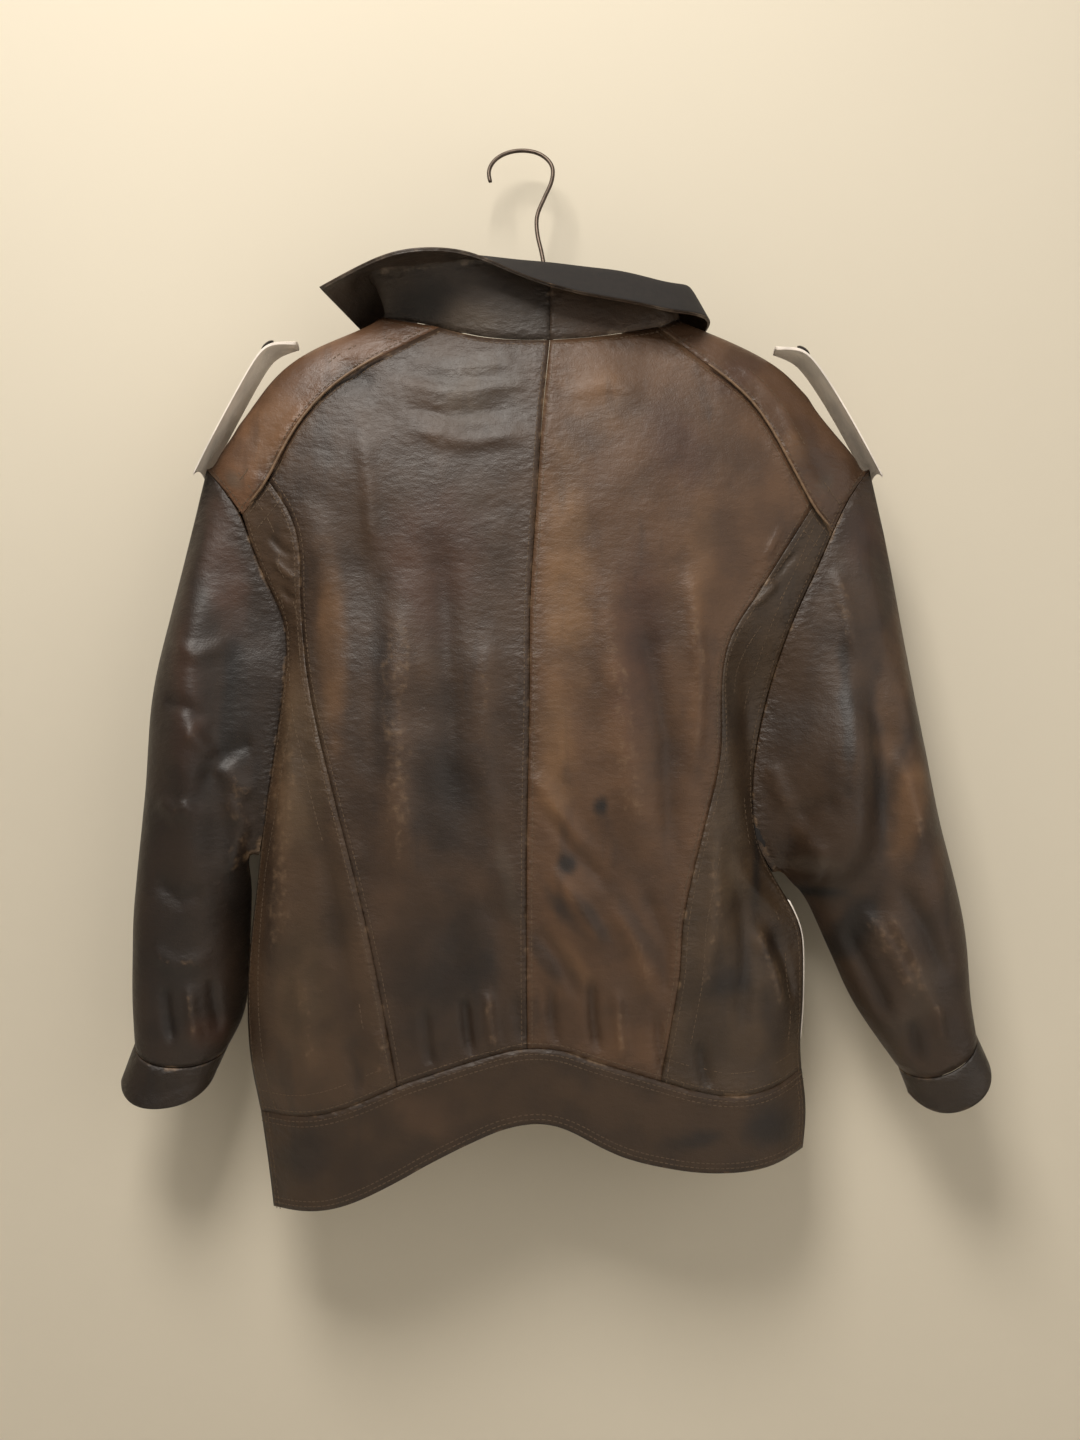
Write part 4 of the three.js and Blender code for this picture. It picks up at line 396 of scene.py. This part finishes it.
class Nodes:
    """The nodes of one new material."""

    def __init__(self, name: str) -> None:
        """Starts a material with a Principled shader."""
        self.material = bpy.data.materials.new(name)
        self.material.use_nodes = True
        self.tree = self.material.node_tree
        self.shader = self.tree.nodes["Principled BSDF"]

    def put(self, socket: bpy.types.NodeSocket, value: Union[Value, Colour]) -> None:
        """Links a wrapped socket into an input, or sets its number or colour."""
        if isinstance(value, Sock):
            self.tree.links.new(value.socket, socket)
        elif isinstance(value, tuple) and socket.type == "RGBA":
            socket.default_value = (*value, 1.0)
        else:
            socket.default_value = value

    def make(self, kind: str, settings: dict, inputs: dict, output: Union[int, str] = 0) -> Sock:
        """Adds a node.

        Args:
            kind: the node's type.
            settings: its properties, set first.
            inputs: values or links by socket name or number.
            output: the socket that is returned.

        Returns:
            The wrapped output.
        """
        node = self.tree.nodes.new(kind)
        for key, value in settings.items():
            setattr(node, key, value)
        for key, value in inputs.items():
            self.put(node.inputs[key], value)
        return Sock(self, node.outputs[output])

    def attribute(self, name: str, output: str) -> Sock:
        """A value held by the mesh's own points."""
        return self.make("ShaderNodeAttribute", {"attribute_name": name}, {}, output)

    def noise(self, scale: float, detail: float, stretch: Colour = (1, 1, 1)) -> Sock:
        """Noise from 0 to 1 over the piece's own coordinates."""
        place = self.make("ShaderNodeTexCoord", {}, {}, "Object")
        spread = self.make("ShaderNodeVectorMath", {"operation": "MULTIPLY"}, {0: place, 1: stretch})
        return self.make("ShaderNodeTexNoise", {}, {"Vector": spread, "Scale": scale, "Detail": detail}, 0)

    def clamp(self, value: Sock, low: float, high: float) -> Sock:
        """The value spread from low..high to 0..1 and held there."""
        return self.make("ShaderNodeMapRange", {"interpolation_type": "SMOOTHSTEP"},
                         {"Value": value, "From Min": low, "From Max": high})

    def mix(self, factor: Value, a: Union[Sock, Colour], b: Union[Sock, Colour], blend: str = "MIX") -> Sock:
        """Two colours mixed by a factor."""
        settings = {"data_type": "RGBA", "blend_type": blend}
        return self.make("ShaderNodeMix", settings, {0: factor, 6: a, 7: b}, 2)

    def finish(self, **inputs: Union[Value, Colour]) -> bpy.types.Material:
        """Feeds the shader's sockets, underscores standing for spaces, and returns the material."""
        for name, value in inputs.items():
            self.put(self.shader.inputs[name.replace("_", " ")], value)
        return self.material


@dataclass(frozen=True)
class LeatherFinish:
    """Worn leather whose dye, with painted shade and highlights in it, and wear are held by the mesh."""

    name: str
    gloss: float = 0.34
    grain: float = 0.75
    worn: Colour = (0.20, 0.125, 0.070)
    relief: float = 0.0011

    def material(self) -> bpy.types.Material:
        """Mottled dye with the mesh's painted shade and highlights, tan rubbed edges, fine grain and small
        wrinkles.
        """
        n = Nodes(self.name)
        mottle, flecks = n.noise(28, 6), n.noise(160, 4)
        streaks = n.noise(22, 5, (2.2, 1, 0.45))
        wear, seam = n.attribute("wear", "Fac"), n.attribute("seam", "Fac")
        dark = n.mix(n.clamp(mottle, 0.35, 0.62), (0.80, 0.79, 0.78), (1.12, 1.11, 1.09))
        # The mesh's dye colour carries painted shade and highlights as well as the dye.
        dye_with_painted_shade = n.mix(1.0, n.attribute("dye", "Color"), dark, "MULTIPLY")
        streaked = n.mix(n.clamp(streaks, 0.58, 0.74) * 0.3, dye_with_painted_shade, (0.012, 0.009, 0.008))
        rubbed = n.clamp(wear * 1.1 + flecks * 0.9, 0.85, 1.35)
        colour = n.mix(rubbed * 0.8, streaked, self.worn)
        grain, wrinkles = n.noise(900, 3), n.noise(120, 7, (1, 1, 1.8))
        height = grain * 0.25 + wrinkles * (0.7 + seam * 1.6) + mottle * 0.5
        relief = {"Strength": self.grain, "Distance": self.relief, "Height": height}
        bump = n.make("ShaderNodeBump", {}, relief, "Normal")
        rough = self.gloss + flecks * 0.14 + mottle * 0.16 - rubbed * 0.05
        return n.finish(Base_Color=colour, Roughness=rough, Normal=bump)


@dataclass(frozen=True)
class PlainFinish:
    """A plain material with a little unevenness."""

    name: str
    colour: Colour
    rough: float
    metal: float = 0.0
    scale: float = 220.0

    def material(self) -> bpy.types.Material:
        """One colour, a little lighter and darker over its surface."""
        n = Nodes(self.name)
        patchy = n.noise(self.scale, 4)
        low = tuple(0.7 * c for c in self.colour)
        colour = n.mix(n.clamp(patchy, 0.35, 0.65), low, self.colour)
        return n.finish(Base_Color=colour, Roughness=self.rough + patchy * 0.15, Metallic=self.metal)


# ------------------------------------------------------------------ shells from the solids


class Side(Enum):
    """The layer of a wall that a face belongs to; the value is its material's place."""

    OUTER = 0
    INNER = 1
    RIM = 2


@dataclass
class Wall:
    """A cloth wall read from its solid and made finer."""

    node: str
    outward: tuple[float, float, float]
    levels: int = 3
    rim_edge: float = 2.0

    def cage(self) -> bpy.types.Mesh:
        """The solid's own mesh with its rims creased and its layers told apart."""
        bm = bmesh.new()
        bm.from_mesh(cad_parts[self.node].data)
        bmesh.ops.remove_doubles(bm, verts=bm.verts, dist=WELD * MM)
        bmesh.ops.join_triangles(bm, faces=bm.faces, angle_face_threshold=FLAT_PAIR,
                                 angle_shape_threshold=SQUARE_PAIR, cmp_seam=False, cmp_sharp=False)
        bm.normal_update()
        bm.faces.ensure_lookup_table()
        rims = {f.index for f in bm.faces if min(e.calc_length() for e in f.edges) < self.rim_edge * MM}
        self._name_layers(bm, rims)
        crease = bm.edges.layers.float.new("crease_edge")
        for edge in bm.edges:
            kinds = {face.material_index for face in edge.link_faces}
            corner = kinds == {Side.RIM.value} and edge.calc_face_angle(0) > RIM_CORNER
            edge[crease] = 1.0 if len(kinds) > 1 or corner else 0.0
        mesh = bpy.data.meshes.new(f"{self.node}_cage")
        bm.to_mesh(mesh)
        bm.free()
        return mesh

    def _name_layers(self, bm: bmesh.types.BMesh, rims: set[int]) -> None:
        """Marks each face as outer, inner or rim.

        Args:
            bm: the solid's mesh.
            rims: the numbers of its rim faces.
        """
        left = {f.index for f in bm.faces} - rims
        for index in rims:
            bm.faces[index].material_index = Side.RIM.value
        sheets = []
        while left:
            stack = [left.pop()]
            sheet = list(stack)
            while stack:
                for edge in bm.faces[stack.pop()].edges:
                    for face in edge.link_faces:
                        if face.index in left:
                            left.discard(face.index)
                            stack.append(face.index)
                            sheet.append(face.index)
            sheets.append(sheet)
        for sheet in sheets:
            faces = [bm.faces[i] for i in sheet]
            facing = sum((f.normal * f.calc_area() for f in faces), Vector()).dot(Vector(self.outward))
            for face in faces:
                face.material_index = (Side.OUTER if facing > 0 else Side.INNER).value

    def outer_area(self) -> float:
        """The area of the solid's outer sheet, in square metres."""
        mesh = self.cage()
        area = sum(p.area for p in mesh.polygons if p.material_index == Side.OUTER.value)
        bpy.data.meshes.remove(mesh)
        return area

    def refined(self, name: str) -> bpy.types.Object:
        """The wall as a new smooth object.

        Args:
            name: the new object's name.

        Returns:
            The object, linked to the scene.
        """
        obj = bpy.data.objects.new(name, self.cage())
        bpy.context.collection.objects.link(obj)
        finer = obj.modifiers.new("finer", "SUBSURF")
        finer.levels = self.levels
        finer.render_levels = self.levels
        mesh = bpy.data.meshes.new_from_object(obj.evaluated_get(bpy.context.evaluated_depsgraph_get()))
        obj.modifiers.clear()
        obj.data = mesh
        mesh.shade_smooth()
        return obj


def places_of(mesh: bpy.types.Mesh) -> Grid:
    """A mesh's points in mm."""
    places = np.empty(3 * len(mesh.vertices))
    mesh.vertices.foreach_get("co", places)
    return places.reshape(-1, 3) / MM


def seam_nearness(mesh: bpy.types.Mesh, places: Grid) -> Grid:
    """How far each point is from its piece's nearest edge.

    Args:
        mesh: a refined wall.
        places: its points in mm.

    Returns:
        The distance in mm, one a point.
    """
    rim = sorted({v for p in mesh.polygons if p.material_index == Side.RIM.value for v in p.vertices})
    if not rim:
        return np.full(len(places), NO_EDGE)
    tree = KDTree(len(rim))
    for index in rim:
        tree.insert(places[index], index)
    tree.balance()
    return np.array([tree.find(place)[2] for place in places])


@dataclass
class Cloth:
    """One piece of leather: its solid, its cut, its folds and its colours."""

    node: str
    slot: str
    cut: Point
    dye: Colour
    outward: tuple[float, float, float] = (0, -1, 0)
    levels: int = 3
    back: tuple[Fold, ...] = BACK_FOLDS
    front: tuple[Fold, ...] = FRONT_FOLDS
    patches: tuple[Patch, ...] = BODY_PATCHES
    rumple: float = 1.6
    pinch: float = 0.8
    pinch_width: float = 3.2
    worn_width: float = 3.0
    seam_width: float = 9
    finish: LeatherFinish = LeatherFinish("worn_leather")
    held: str = "hung"

    def lift(self, places: Grid) -> Grid:
        """How far the small folds move each place towards the viewer, in mm."""
        x, y, z = places.T
        behind = seen_share(y)
        uneven = self.rumple * (value_noise(x, z, 34, 11) + 0.5 * value_noise(x, z, 15, 17) - 0.75)
        seen = total_lift(self.back, x, z) + uneven
        hidden = total_lift(self.front, x, z) + uneven
        return seen * behind - hidden * (1 - behind)

    def build(self, materials: "Wardrobe") -> bpy.types.Object:
        """Args:
            materials: the finishes made so far.

        Returns:
            The piece.
        """
        wall = Wall(self.node, self.outward, self.levels)
        obj = wall.refined(f"{self.node}_look")
        mesh = obj.data
        places = places_of(mesh)
        near = seam_nearness(mesh, places)
        lifted = self.lift(places)
        behind = seen_share(places[:, 1])
        sunk = self.pinch * np.exp(-((near / self.pinch_width) ** 2)) * (2 * behind - 1)
        moved = places.copy()
        moved[:, 1] += sunk - lifted
        mesh.vertices.foreach_set("co", (moved * MM).ravel())
        self._dye_with_painted_shading(mesh, places, near, lifted)
        mesh.update()
        sides = np.empty(len(mesh.polygons), dtype=np.int32)
        mesh.polygons.foreach_get("material_index", sides)
        mesh.materials.clear()
        for finish in (self.finish, LINING, self.finish):
            mesh.materials.append(materials.get(finish))
        mesh.polygons.foreach_set("material_index", sides)
        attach(obj, GARMENT)
        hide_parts(self.node)
        self.cut[0] * MM
        self.cut[1] * MM
        wall.outer_area()
        return obj

    def _dye_with_painted_shading(self, mesh: bpy.types.Mesh, places: Grid, near: Grid, lifted: Grid) -> None:
        """Writes the dye, with painted shade and highlights in it, the wear and the nearness of a seam to
        the mesh.

        Args:
            mesh: the refined wall.
            places: its points before the folds, in mm.
            near: each point's distance from the piece's edge.
            lifted: how far the folds lift each point, which also sets the painted shade and highlights.
        """
        x, _, z = places.T
        colour = np.tile(np.array(self.dye), (len(x), 1))
        for patch in self.patches:
            share = patch.share(x, z)[:, None]
            colour = colour * (1 - share) + np.array(patch.dye) * share
        colour *= (0.86 + 0.28 * value_noise(x, z, 30, 9))[:, None]
        # Painted shade and highlight: the dye is darkened where the folds sink and lightened where they
        # rise.
        colour *= np.clip(1 + 0.08 * lifted, 0.45, 1.4)[:, None]
        rows = np.ones((len(x), 4))
        rows[:, :3] = colour * DYE_DEPTH
        edge = np.exp(-((near / self.worn_width) ** 2))
        seam = np.exp(-((near / self.seam_width) ** 2))
        wear = 0.75 * edge * value_noise(x, z, 9, 21) + 0.14 * np.clip(lifted, 0, 3)
        # The dye attribute holds the dye with the painted shade and highlights in it.
        mesh.attributes.new("dye", "FLOAT_COLOR", "POINT").data.foreach_set("color", rows.ravel())
        for name, values in (("wear", wear), ("seam", seam)):
            mesh.attributes.new(name, "FLOAT", "POINT").data.foreach_set("value", values)


class Wardrobe:
    """Makes each finish's material once."""

    def __init__(self) -> None:
        """Starts with none made."""
        self.made: dict[str, bpy.types.Material] = {}

    def get(self, finish: Union[LeatherFinish, PlainFinish]) -> bpy.types.Material:
        """The finish's material."""
        if finish.name not in self.made:
            self.made[finish.name] = finish.material()
        return self.made[finish.name]


LINING = PlainFinish("dark_lining", (0.018, 0.014, 0.012), 0.8)
GLOSSY = LeatherFinish("glossy_yoke_leather", gloss=0.27, grain=0.7, worn=(0.24, 0.15, 0.09))
COLLAR_LEATHER = LeatherFinish("collar_leather", gloss=0.38, grain=0.8, worn=(0.19, 0.14, 0.10))
CORD = PlainFinish("piping_cord", (0.20, 0.12, 0.065), 0.42)
TAPE = PlainFinish("zip_tape_cloth", (0.014, 0.012, 0.011), 0.85)
BRASS = PlainFinish("dull_brass", (0.24, 0.18, 0.10), 0.4, 1.0)
HORN = PlainFinish("dark_button", (0.020, 0.015, 0.012), 0.35)
HANGER_FINISH = PlainFinish("dark_hanger", (0.020, 0.017, 0.015), 0.4)
WIRE = PlainFinish("dull_dark_wire", (0.13, 0.10, 0.08), 0.38, 1.0)
THREAD = PlainFinish("tan_thread", (0.13, 0.085, 0.05), 0.7)


# ------------------------------------------------------------------ the garment's parts


@dataclass
class Garment:
    """All the leather, piece by piece, with its cut sizes in mm."""

    materials: Wardrobe
    front: tuple[float, float, float] = (0, 1, 0)
    up: tuple[float, float, float] = (0, 0, 1)
    neck_panels: tuple[str, ...] = ("back_left_look", "back_right_look", "yoke_left_look", "yoke_right_look")

    def pieces(self) -> list[Cloth]:
        """Every piece of leather and its dress."""
        sleeves = {"patches": SLEEVE_PATCHES, "slot": "leather_dark"}
        collar = {"patches": COLLAR_PATCHES, "slot": "leather_collar", "finish": COLLAR_LEATHER,
                  "back": (), "front": (), "rumple": 0.8, "pinch": 0.3}
        return [
            Cloth("back_left", "leather_brown", (190, 600), (0.052, 0.031, 0.018)),
            Cloth("back_right", "leather_tan", (185, 600), (0.098, 0.054, 0.028)),
            Cloth("side_back_left", "leather_tan", (120, 505), (0.066, 0.040, 0.022)),
            Cloth("side_back_right", "leather_tan", (115, 470), (0.058, 0.037, 0.020)),
            Cloth("yoke_left", "leather_red_brown", (240, 130), (0.135, 0.073, 0.040), self.up,
                  finish=GLOSSY),
            Cloth("yoke_right", "leather_red_brown", (240, 130), (0.092, 0.052, 0.030), self.up,
                  finish=GLOSSY),
            Cloth("front_left", "leather_brown", (260, 610), (0.055, 0.033, 0.019), self.front),
            Cloth("front_right", "leather_brown", (245, 590), (0.055, 0.033, 0.019), self.front),
            Cloth("waistband_back", "leather_brown", (475, 78), (0.048, 0.028, 0.014), rumple=1.0),
            Cloth("waistband_front_left", "leather_brown", (240, 68), (0.046, 0.027, 0.014), self.front),
            Cloth("waistband_front_right", "leather_brown", (225, 66), (0.046, 0.027, 0.014), self.front),
            Cloth("sleeve_back_left", cut=(165, 470), dye=(0.026, 0.016, 0.010), back=LEFT_SLEEVE_FOLDS,
                  **sleeves),
            Cloth("sleeve_back_right", cut=(190, 500), dye=(0.048, 0.029, 0.017), back=RIGHT_SLEEVE_FOLDS,
                  **sleeves),
            Cloth("sleeve_front_left", cut=(160, 465), dye=(0.026, 0.016, 0.010), outward=self.front,
                  **sleeves),
            Cloth("sleeve_front_right", cut=(175, 490), dye=(0.034, 0.021, 0.013), outward=self.front,
                  **sleeves),
            Cloth("cuff_left", cut=(190, 32), dye=(0.024, 0.015, 0.009), **sleeves),
            Cloth("cuff_right", cut=(165, 30), dye=(0.031, 0.022, 0.015), **sleeves),
            Cloth("top_collar", cut=(530, 105), dye=(0.060, 0.043, 0.031), **collar),
            Cloth("under_collar_left", cut=(290, 105), dye=(0.046, 0.035, 0.027), **collar),
            Cloth("under_collar_right", cut=(240, 105), dye=(0.070, 0.047, 0.031), **collar),
        ]

    def build(self) -> None:
        """Makes every piece."""
        for piece in self.pieces():
            obj = piece.build(self.materials)
            if "collar" in piece.node:
                drawn_to_neck(obj, self.neck_panels)
            LOG.info("%s: %d faces", obj.name, len(obj.data.polygons))


def drawn_to_neck(obj: bpy.types.Object, neighbours: Sequence[str], reach: float = 3.5,
                  pull: float = 0.8) -> None:
    """Draws the foot of a collar piece towards the panels it is sewn to, so that less of the gap shows.

    Args:
        obj: the collar piece.
        neighbours: the panels' objects.
        reach: how near a point has to be to move, in mm.
        pull: the share of the way that the nearest points move.
    """
    places = places_of(obj.data)
    for name in neighbours:
        mesh = bpy.data.objects[name].data
        panel = places_of(mesh)
        faces = [tuple(p.vertices) for p in mesh.polygons]
        surface = BVHTree.FromPolygons(panel.tolist(), faces)
        for index, place in enumerate(places):
            nearest, _, _, away = surface.find_nearest(place, reach)
            if nearest is not None:
                share = float(smooth(reach, 0.4 * reach, np.array(away)))
                places[index] += (np.array(nearest) - place) * pull * share
    obj.data.vertices.foreach_set("co", (places * MM).ravel())
    obj.data.update()


@dataclass
class LaidOn:
    """A small hard or thick piece taken from its solid and smoothed."""

    node: str
    slot: str
    finish: Union[LeatherFinish, PlainFinish]
    levels: int = 2
    dye: Optional[Colour] = None

    def build(self, materials: Wardrobe) -> bpy.types.Object:
        """Makes the piece, dresses it and hangs it on the jacket's body."""
        obj = Wall(self.node, (0, -1, 0), self.levels, rim_edge=2.5 if self.dye else 0.0).refined(
            f"{self.node}_look")
        mesh = obj.data
        mesh.materials.clear()
        for _ in Side:
            mesh.materials.append(materials.get(self.finish))
        if self.dye:
            places = places_of(mesh)
            near = seam_nearness(mesh, places)
            # Known fault: 1.0 is taken as the dye, and self.dye as the outward direction,
            # so these pieces come out nearly white. They should be dyed self.dye.
            dyer = Cloth(self.node, self.slot, (1, 1), 1.0, self.dye)
            dyer._dye_with_painted_shading(mesh, places, near, np.zeros(len(near)))
        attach(obj, GARMENT)
        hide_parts(self.node)
        return obj


@dataclass
class Trimmings:
    """Piping, epaulettes, welts, tab, tapes, hanger and hook."""

    materials: Wardrobe
    strap_dye: Colour = (0.115, 0.085, 0.058)
    band_dye: Colour = (0.048, 0.028, 0.014)

    def build(self) -> None:
        """Makes every trimming and dresses the solids that are kept."""
        rows = [LaidOn(f"yoke_piping_{side}", "piping", CORD) for side in ("left", "right")]
        rows += [LaidOn(f"epaulette_{side}", "leather_red_brown", GLOSSY, 3, self.strap_dye)
                 for side in ("left", "right")]
        rows += [LaidOn(f"pocket_welt_{side}", "leather_brown", GLOSSY, 2, self.band_dye)
                 for side in ("left", "right")]
        rows += [LaidOn("waist_tab_right", "leather_brown", GLOSSY, 2, self.band_dye)]
        rows += [LaidOn(f"zip_tape_{side}", "zip_tape", TAPE, 1) for side in ("left", "right")]
        rows += [LaidOn("hanger", "hanger_plastic", HANGER_FINISH), LaidOn("hook", "hook_wire", WIRE)]
        for row in rows:
            LOG.info("%s", row.build(self.materials).name)
        kept = {"zip_slider": BRASS, "pull_tab": BRASS,
                "epaulette_button_left": HORN, "epaulette_button_right": HORN}
        for node, finish in kept.items():
            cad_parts[node].data.materials.clear()
            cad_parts[node].data.materials.append(self.materials.get(finish))


class BoxHeap:
    """Many small boxes gathered into one mesh."""

    def __init__(self) -> None:
        """Starts empty."""
        self.points: list[Vector] = []
        self.faces: list[tuple[int, ...]] = []

    def add(self, centre: Vector, axes: Sequence[Vector]) -> None:
        """Adds a box.

        Args:
            centre: its middle, in mm.
            axes: its three half sides, in mm.
        """
        first = len(self.points)
        for a in (-1, 1):
            for b in (-1, 1):
                for c in (-1, 1):
                    self.points.append((centre + axes[0] * a + axes[1] * b + axes[2] * c) * MM)
        for face in ((0, 1, 3, 2), (4, 6, 7, 5), (0, 4, 5, 1), (2, 3, 7, 6), (0, 2, 6, 4), (1, 5, 7, 3)):
            self.faces.append(tuple(first + i for i in face))

    def finish(self, name: str, material: bpy.types.Material, slot: str) -> bpy.types.Object:
        """Makes the heap an object on the jacket's body."""
        mesh = bpy.data.meshes.new(name)
        mesh.from_pydata(self.points, [], self.faces)
        mesh.materials.append(material)
        obj = bpy.data.objects.new(name, mesh)
        bpy.context.collection.objects.link(obj)
        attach(obj, GARMENT)
        return obj


@dataclass
class Zip:
    """The zip's teeth, in place of its plain chain."""

    materials: Wardrobe
    pitch: float = 2.6
    tooth: tuple[float, float, float] = (1.6, 0.9, 0.8)
    end_gap: float = 1.5
    offset: float = 1.1

    def build(self) -> bpy.types.Object:
        """Two rows of teeth that interlock down the chain's own line."""
        chain = places_of(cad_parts["zip_chain"].data)
        order = np.argsort(chain[:, 2])
        middle, bottom, top = chain[:, 0].mean(), chain[:, 2].min(), chain[:, 2].max()
        heap = BoxHeap()
        wide, deep, tall = self.tooth
        axes = (Vector((wide, 0, 0)), Vector((0, deep, 0)), Vector((0, 0, tall / 2)))
        for i, z in enumerate(np.arange(bottom + self.end_gap, top - self.end_gap, self.pitch / 2)):
            y = np.interp(z, chain[order, 2], chain[order, 1])
            side = 1 if i % 2 else -1
            heap.add(Vector((middle + side * self.offset, y, z)), axes)
        obj = heap.finish("zip_chain_look", self.materials.get(BRASS), "zip_metal")
        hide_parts("zip_chain")
        return obj


@dataclass
class Topstitching:
    """Short stitches beside the edges of the pieces that show."""

    materials: Wardrobe
    rows: tuple[tuple[str, float], ...] = (
        ("back_left", 4), ("back_right", 4), ("side_back_left", 4), ("side_back_right", 4),
        ("side_back_left", 18), ("side_back_right", 18), ("yoke_left", 4), ("yoke_right", 4),
        ("yoke_left", 20), ("yoke_right", 20), ("waistband_back", 4), ("waistband_back", 8),
    )
    pitch: float = 4.2
    length: float = 2.6
    half_width: float = 0.3
    half_height: float = 0.16
    rise: float = 0.12
    reach: float = 2.5

    def build(self) -> bpy.types.Object:
        """Walks each piece's outer edge and lays stitches a little inside it."""
        heap = BoxHeap()
        for node, inset in self.rows:
            self._along(bpy.data.objects[f"{node}_look"].data, inset, heap)
        return heap.finish("topstitching", self.materials.get(THREAD), "piping")

    def _along(self, mesh: bpy.types.Mesh, inset: float, heap: BoxHeap) -> None:
        """Adds one piece's stitches.

        Args:
            mesh: the piece's refined wall.
            inset: how far inside the edge they run, in mm.
            heap: what the stitches are added to.
        """
        bm = bmesh.new()
        bm.from_mesh(mesh)
        bm.normal_update()
        surface = BVHTree.FromBMesh(bm)
        passed = 0.0
        for start, end, inward in self._edges(bm):
            span = (end - start).length / MM
            while passed < span:
                at = start.lerp(end, passed / span) + inward * inset * MM
                place, normal, _, away = surface.find_nearest(at)
                if away is not None and away < self.reach * MM:
                    along = (end - start).normalized()
                    along = (along - normal * along.dot(normal)).normalized()
                    across = normal.cross(along)
                    axes = (along * self.length / 2, across * self.half_width, normal * self.half_height)
                    heap.add(place / MM + normal * self.rise, axes)
                passed += self.pitch
            passed -= span
        bm.free()

    @staticmethod
    def _edges(bm: bmesh.types.BMesh) -> list[tuple[Vector, Vector, Vector]]:
        """The outer edge of a piece in order, with the direction into the piece at each stretch."""
        rows = {}
        for edge in bm.edges:
            sheet = [f for f in edge.link_faces if f.material_index == Side.OUTER.value]
            rim = [f for f in edge.link_faces if f.material_index == Side.RIM.value]
            if len(sheet) == 1 and len(rim) == 1:
                rows[edge] = sheet[0]
        ordered = []
        while rows:
            edge = next(iter(rows))
            vert = edge.verts[0]
            while edge is not None:
                face = rows.pop(edge)
                other = edge.other_vert(vert)
                along = (other.co - vert.co).normalized()
                inward = face.calc_center_median() - (vert.co + other.co) / 2
                inward = (inward - along * inward.dot(along)).normalized()
                ordered.append((vert.co.copy(), other.co.copy(), inward))
                vert = other
                edge = next((e for e in vert.link_edges if e in rows), None)
        return ordered


# ------------------------------------------------------------------ the stage


@dataclass
class Stage:
    """A pale wall and floor, soft lights and the camera."""

    wall_y: float = 30.0
    floor_z: float = -1250.0
    camera: tuple[float, float, float] = (12.6, -1250.0, -475.9)
    lens: float = 37.24
    sensor: float = 36.0
    near_clip: float = 0.01
    aim: tuple[float, float, float] = (20, -40, -450)
    lamp_colour: Colour = (1.0, 0.96, 0.90)
    room_colour: Colour = (1.0, 0.97, 0.92)
    room_strength: float = 0.22

    def build(self) -> None:
        """Makes the backdrop, the lights and the camera."""
        upright = (math.pi / 2, 0, 0)
        wall = self._plane("backdrop", (0, self.wall_y, -300), (6000, 6000), upright, self._wall())
        floor = self._plane("floor", (0, -1500, self.floor_z), (8000, 8000), (0, 0, 0), self._floor())
        self._light("key", (-350, -1200, 950), 700, 32)
        self._light("fill", (1300, -1400, -200), 1600, 7)
        self._light("front_side", (0, 1700, 500), 1600, 16)
        world = bpy.data.worlds.new("soft_room")
        world.use_nodes = True
        background = world.node_tree.nodes["Background"]
        background.inputs["Color"].default_value = (*self.room_colour, 1)
        background.inputs["Strength"].default_value = self.room_strength
        bpy.context.scene.world = world
        data = bpy.data.cameras.new("camera")
        data.lens, data.sensor_width = self.lens, self.sensor
        data.clip_start = self.near_clip
        camera = bpy.data.objects.new("camera", data)
        camera.location = Vector(self.camera) * MM
        camera.rotation_euler = upright
        bpy.context.collection.objects.link(camera)
        bpy.context.scene.camera = camera
        bpy.context.scene.view_settings.view_transform = "Standard"

    @staticmethod
    def _plane(name: str, centre: Sequence[float], size: Point, turn: Sequence[float],
               material: bpy.types.Material) -> bpy.types.Object:
        """A flat sheet of the stage, its places in mm."""
        mesh = bpy.data.meshes.new(name)
        w, h = size[0] / 2 * MM, size[1] / 2 * MM
        mesh.from_pydata([(-w, -h, 0), (w, -h, 0), (w, h, 0), (-w, h, 0)], [], [(0, 1, 2, 3)])
        mesh.materials.append(material)
        obj = bpy.data.objects.new(name, mesh)
        obj.location = Vector(centre) * MM
        obj.rotation_euler = turn
        bpy.context.collection.objects.link(obj)
        return obj

    @staticmethod
    def _wall() -> bpy.types.Material:
        """Cream paint that is clear from behind, so that the jacket's front can be seen."""
        n = Nodes("cream_wall")
        patchy = n.noise(1.3, 2)
        n.finish(Base_Color=n.mix(patchy, (0.66, 0.59, 0.47), (0.74, 0.67, 0.54)), Roughness=0.9)
        behind = n.make("ShaderNodeNewGeometry", {}, {}, "Backfacing")
        clear = n.make("ShaderNodeBsdfTransparent", {}, {}, 0)
        output = n.tree.nodes["Material Output"]
        both = n.make("ShaderNodeMixShader", {}, {0: behind, 1: Sock(n, n.shader.outputs[0]), 2: clear}, 0)
        n.tree.links.new(both.socket, output.inputs["Surface"])
        return n.material

    @staticmethod
    def _floor() -> bpy.types.Material:
        """Plain pale floor."""
        return Nodes("pale_floor").finish(Base_Color=(0.68, 0.65, 0.60), Roughness=0.85)

    def _light(self, name: str, place: Sequence[float], size: float, power: float) -> None:
        """A soft square light aimed at the jacket's middle, sizes in mm."""
        data = bpy.data.lights.new(name, "AREA")
        data.size, data.energy = size * MM, power
        data.color = self.lamp_colour
        obj = bpy.data.objects.new(name, data)
        obj.location = Vector(place) * MM
        towards = Vector(self.aim) * MM - obj.location
        obj.rotation_euler = towards.to_track_quat("-Z", "Y").to_euler()
        bpy.context.collection.objects.link(obj)


# ------------------------------------------------------------------ all of it


def main() -> None:
    """Builds the jacket piece by piece, then the stage."""
    logging.basicConfig(level=logging.INFO, format="%(name)s: %(message)s")
    materials = Wardrobe()
    Garment(materials).build()
    Trimmings(materials).build()
    LOG.info("%s", Zip(materials).build().name)
    LOG.info("%s", Topstitching(materials).build().name)
    Stage().build()


if __name__ == "__main__":
    main()
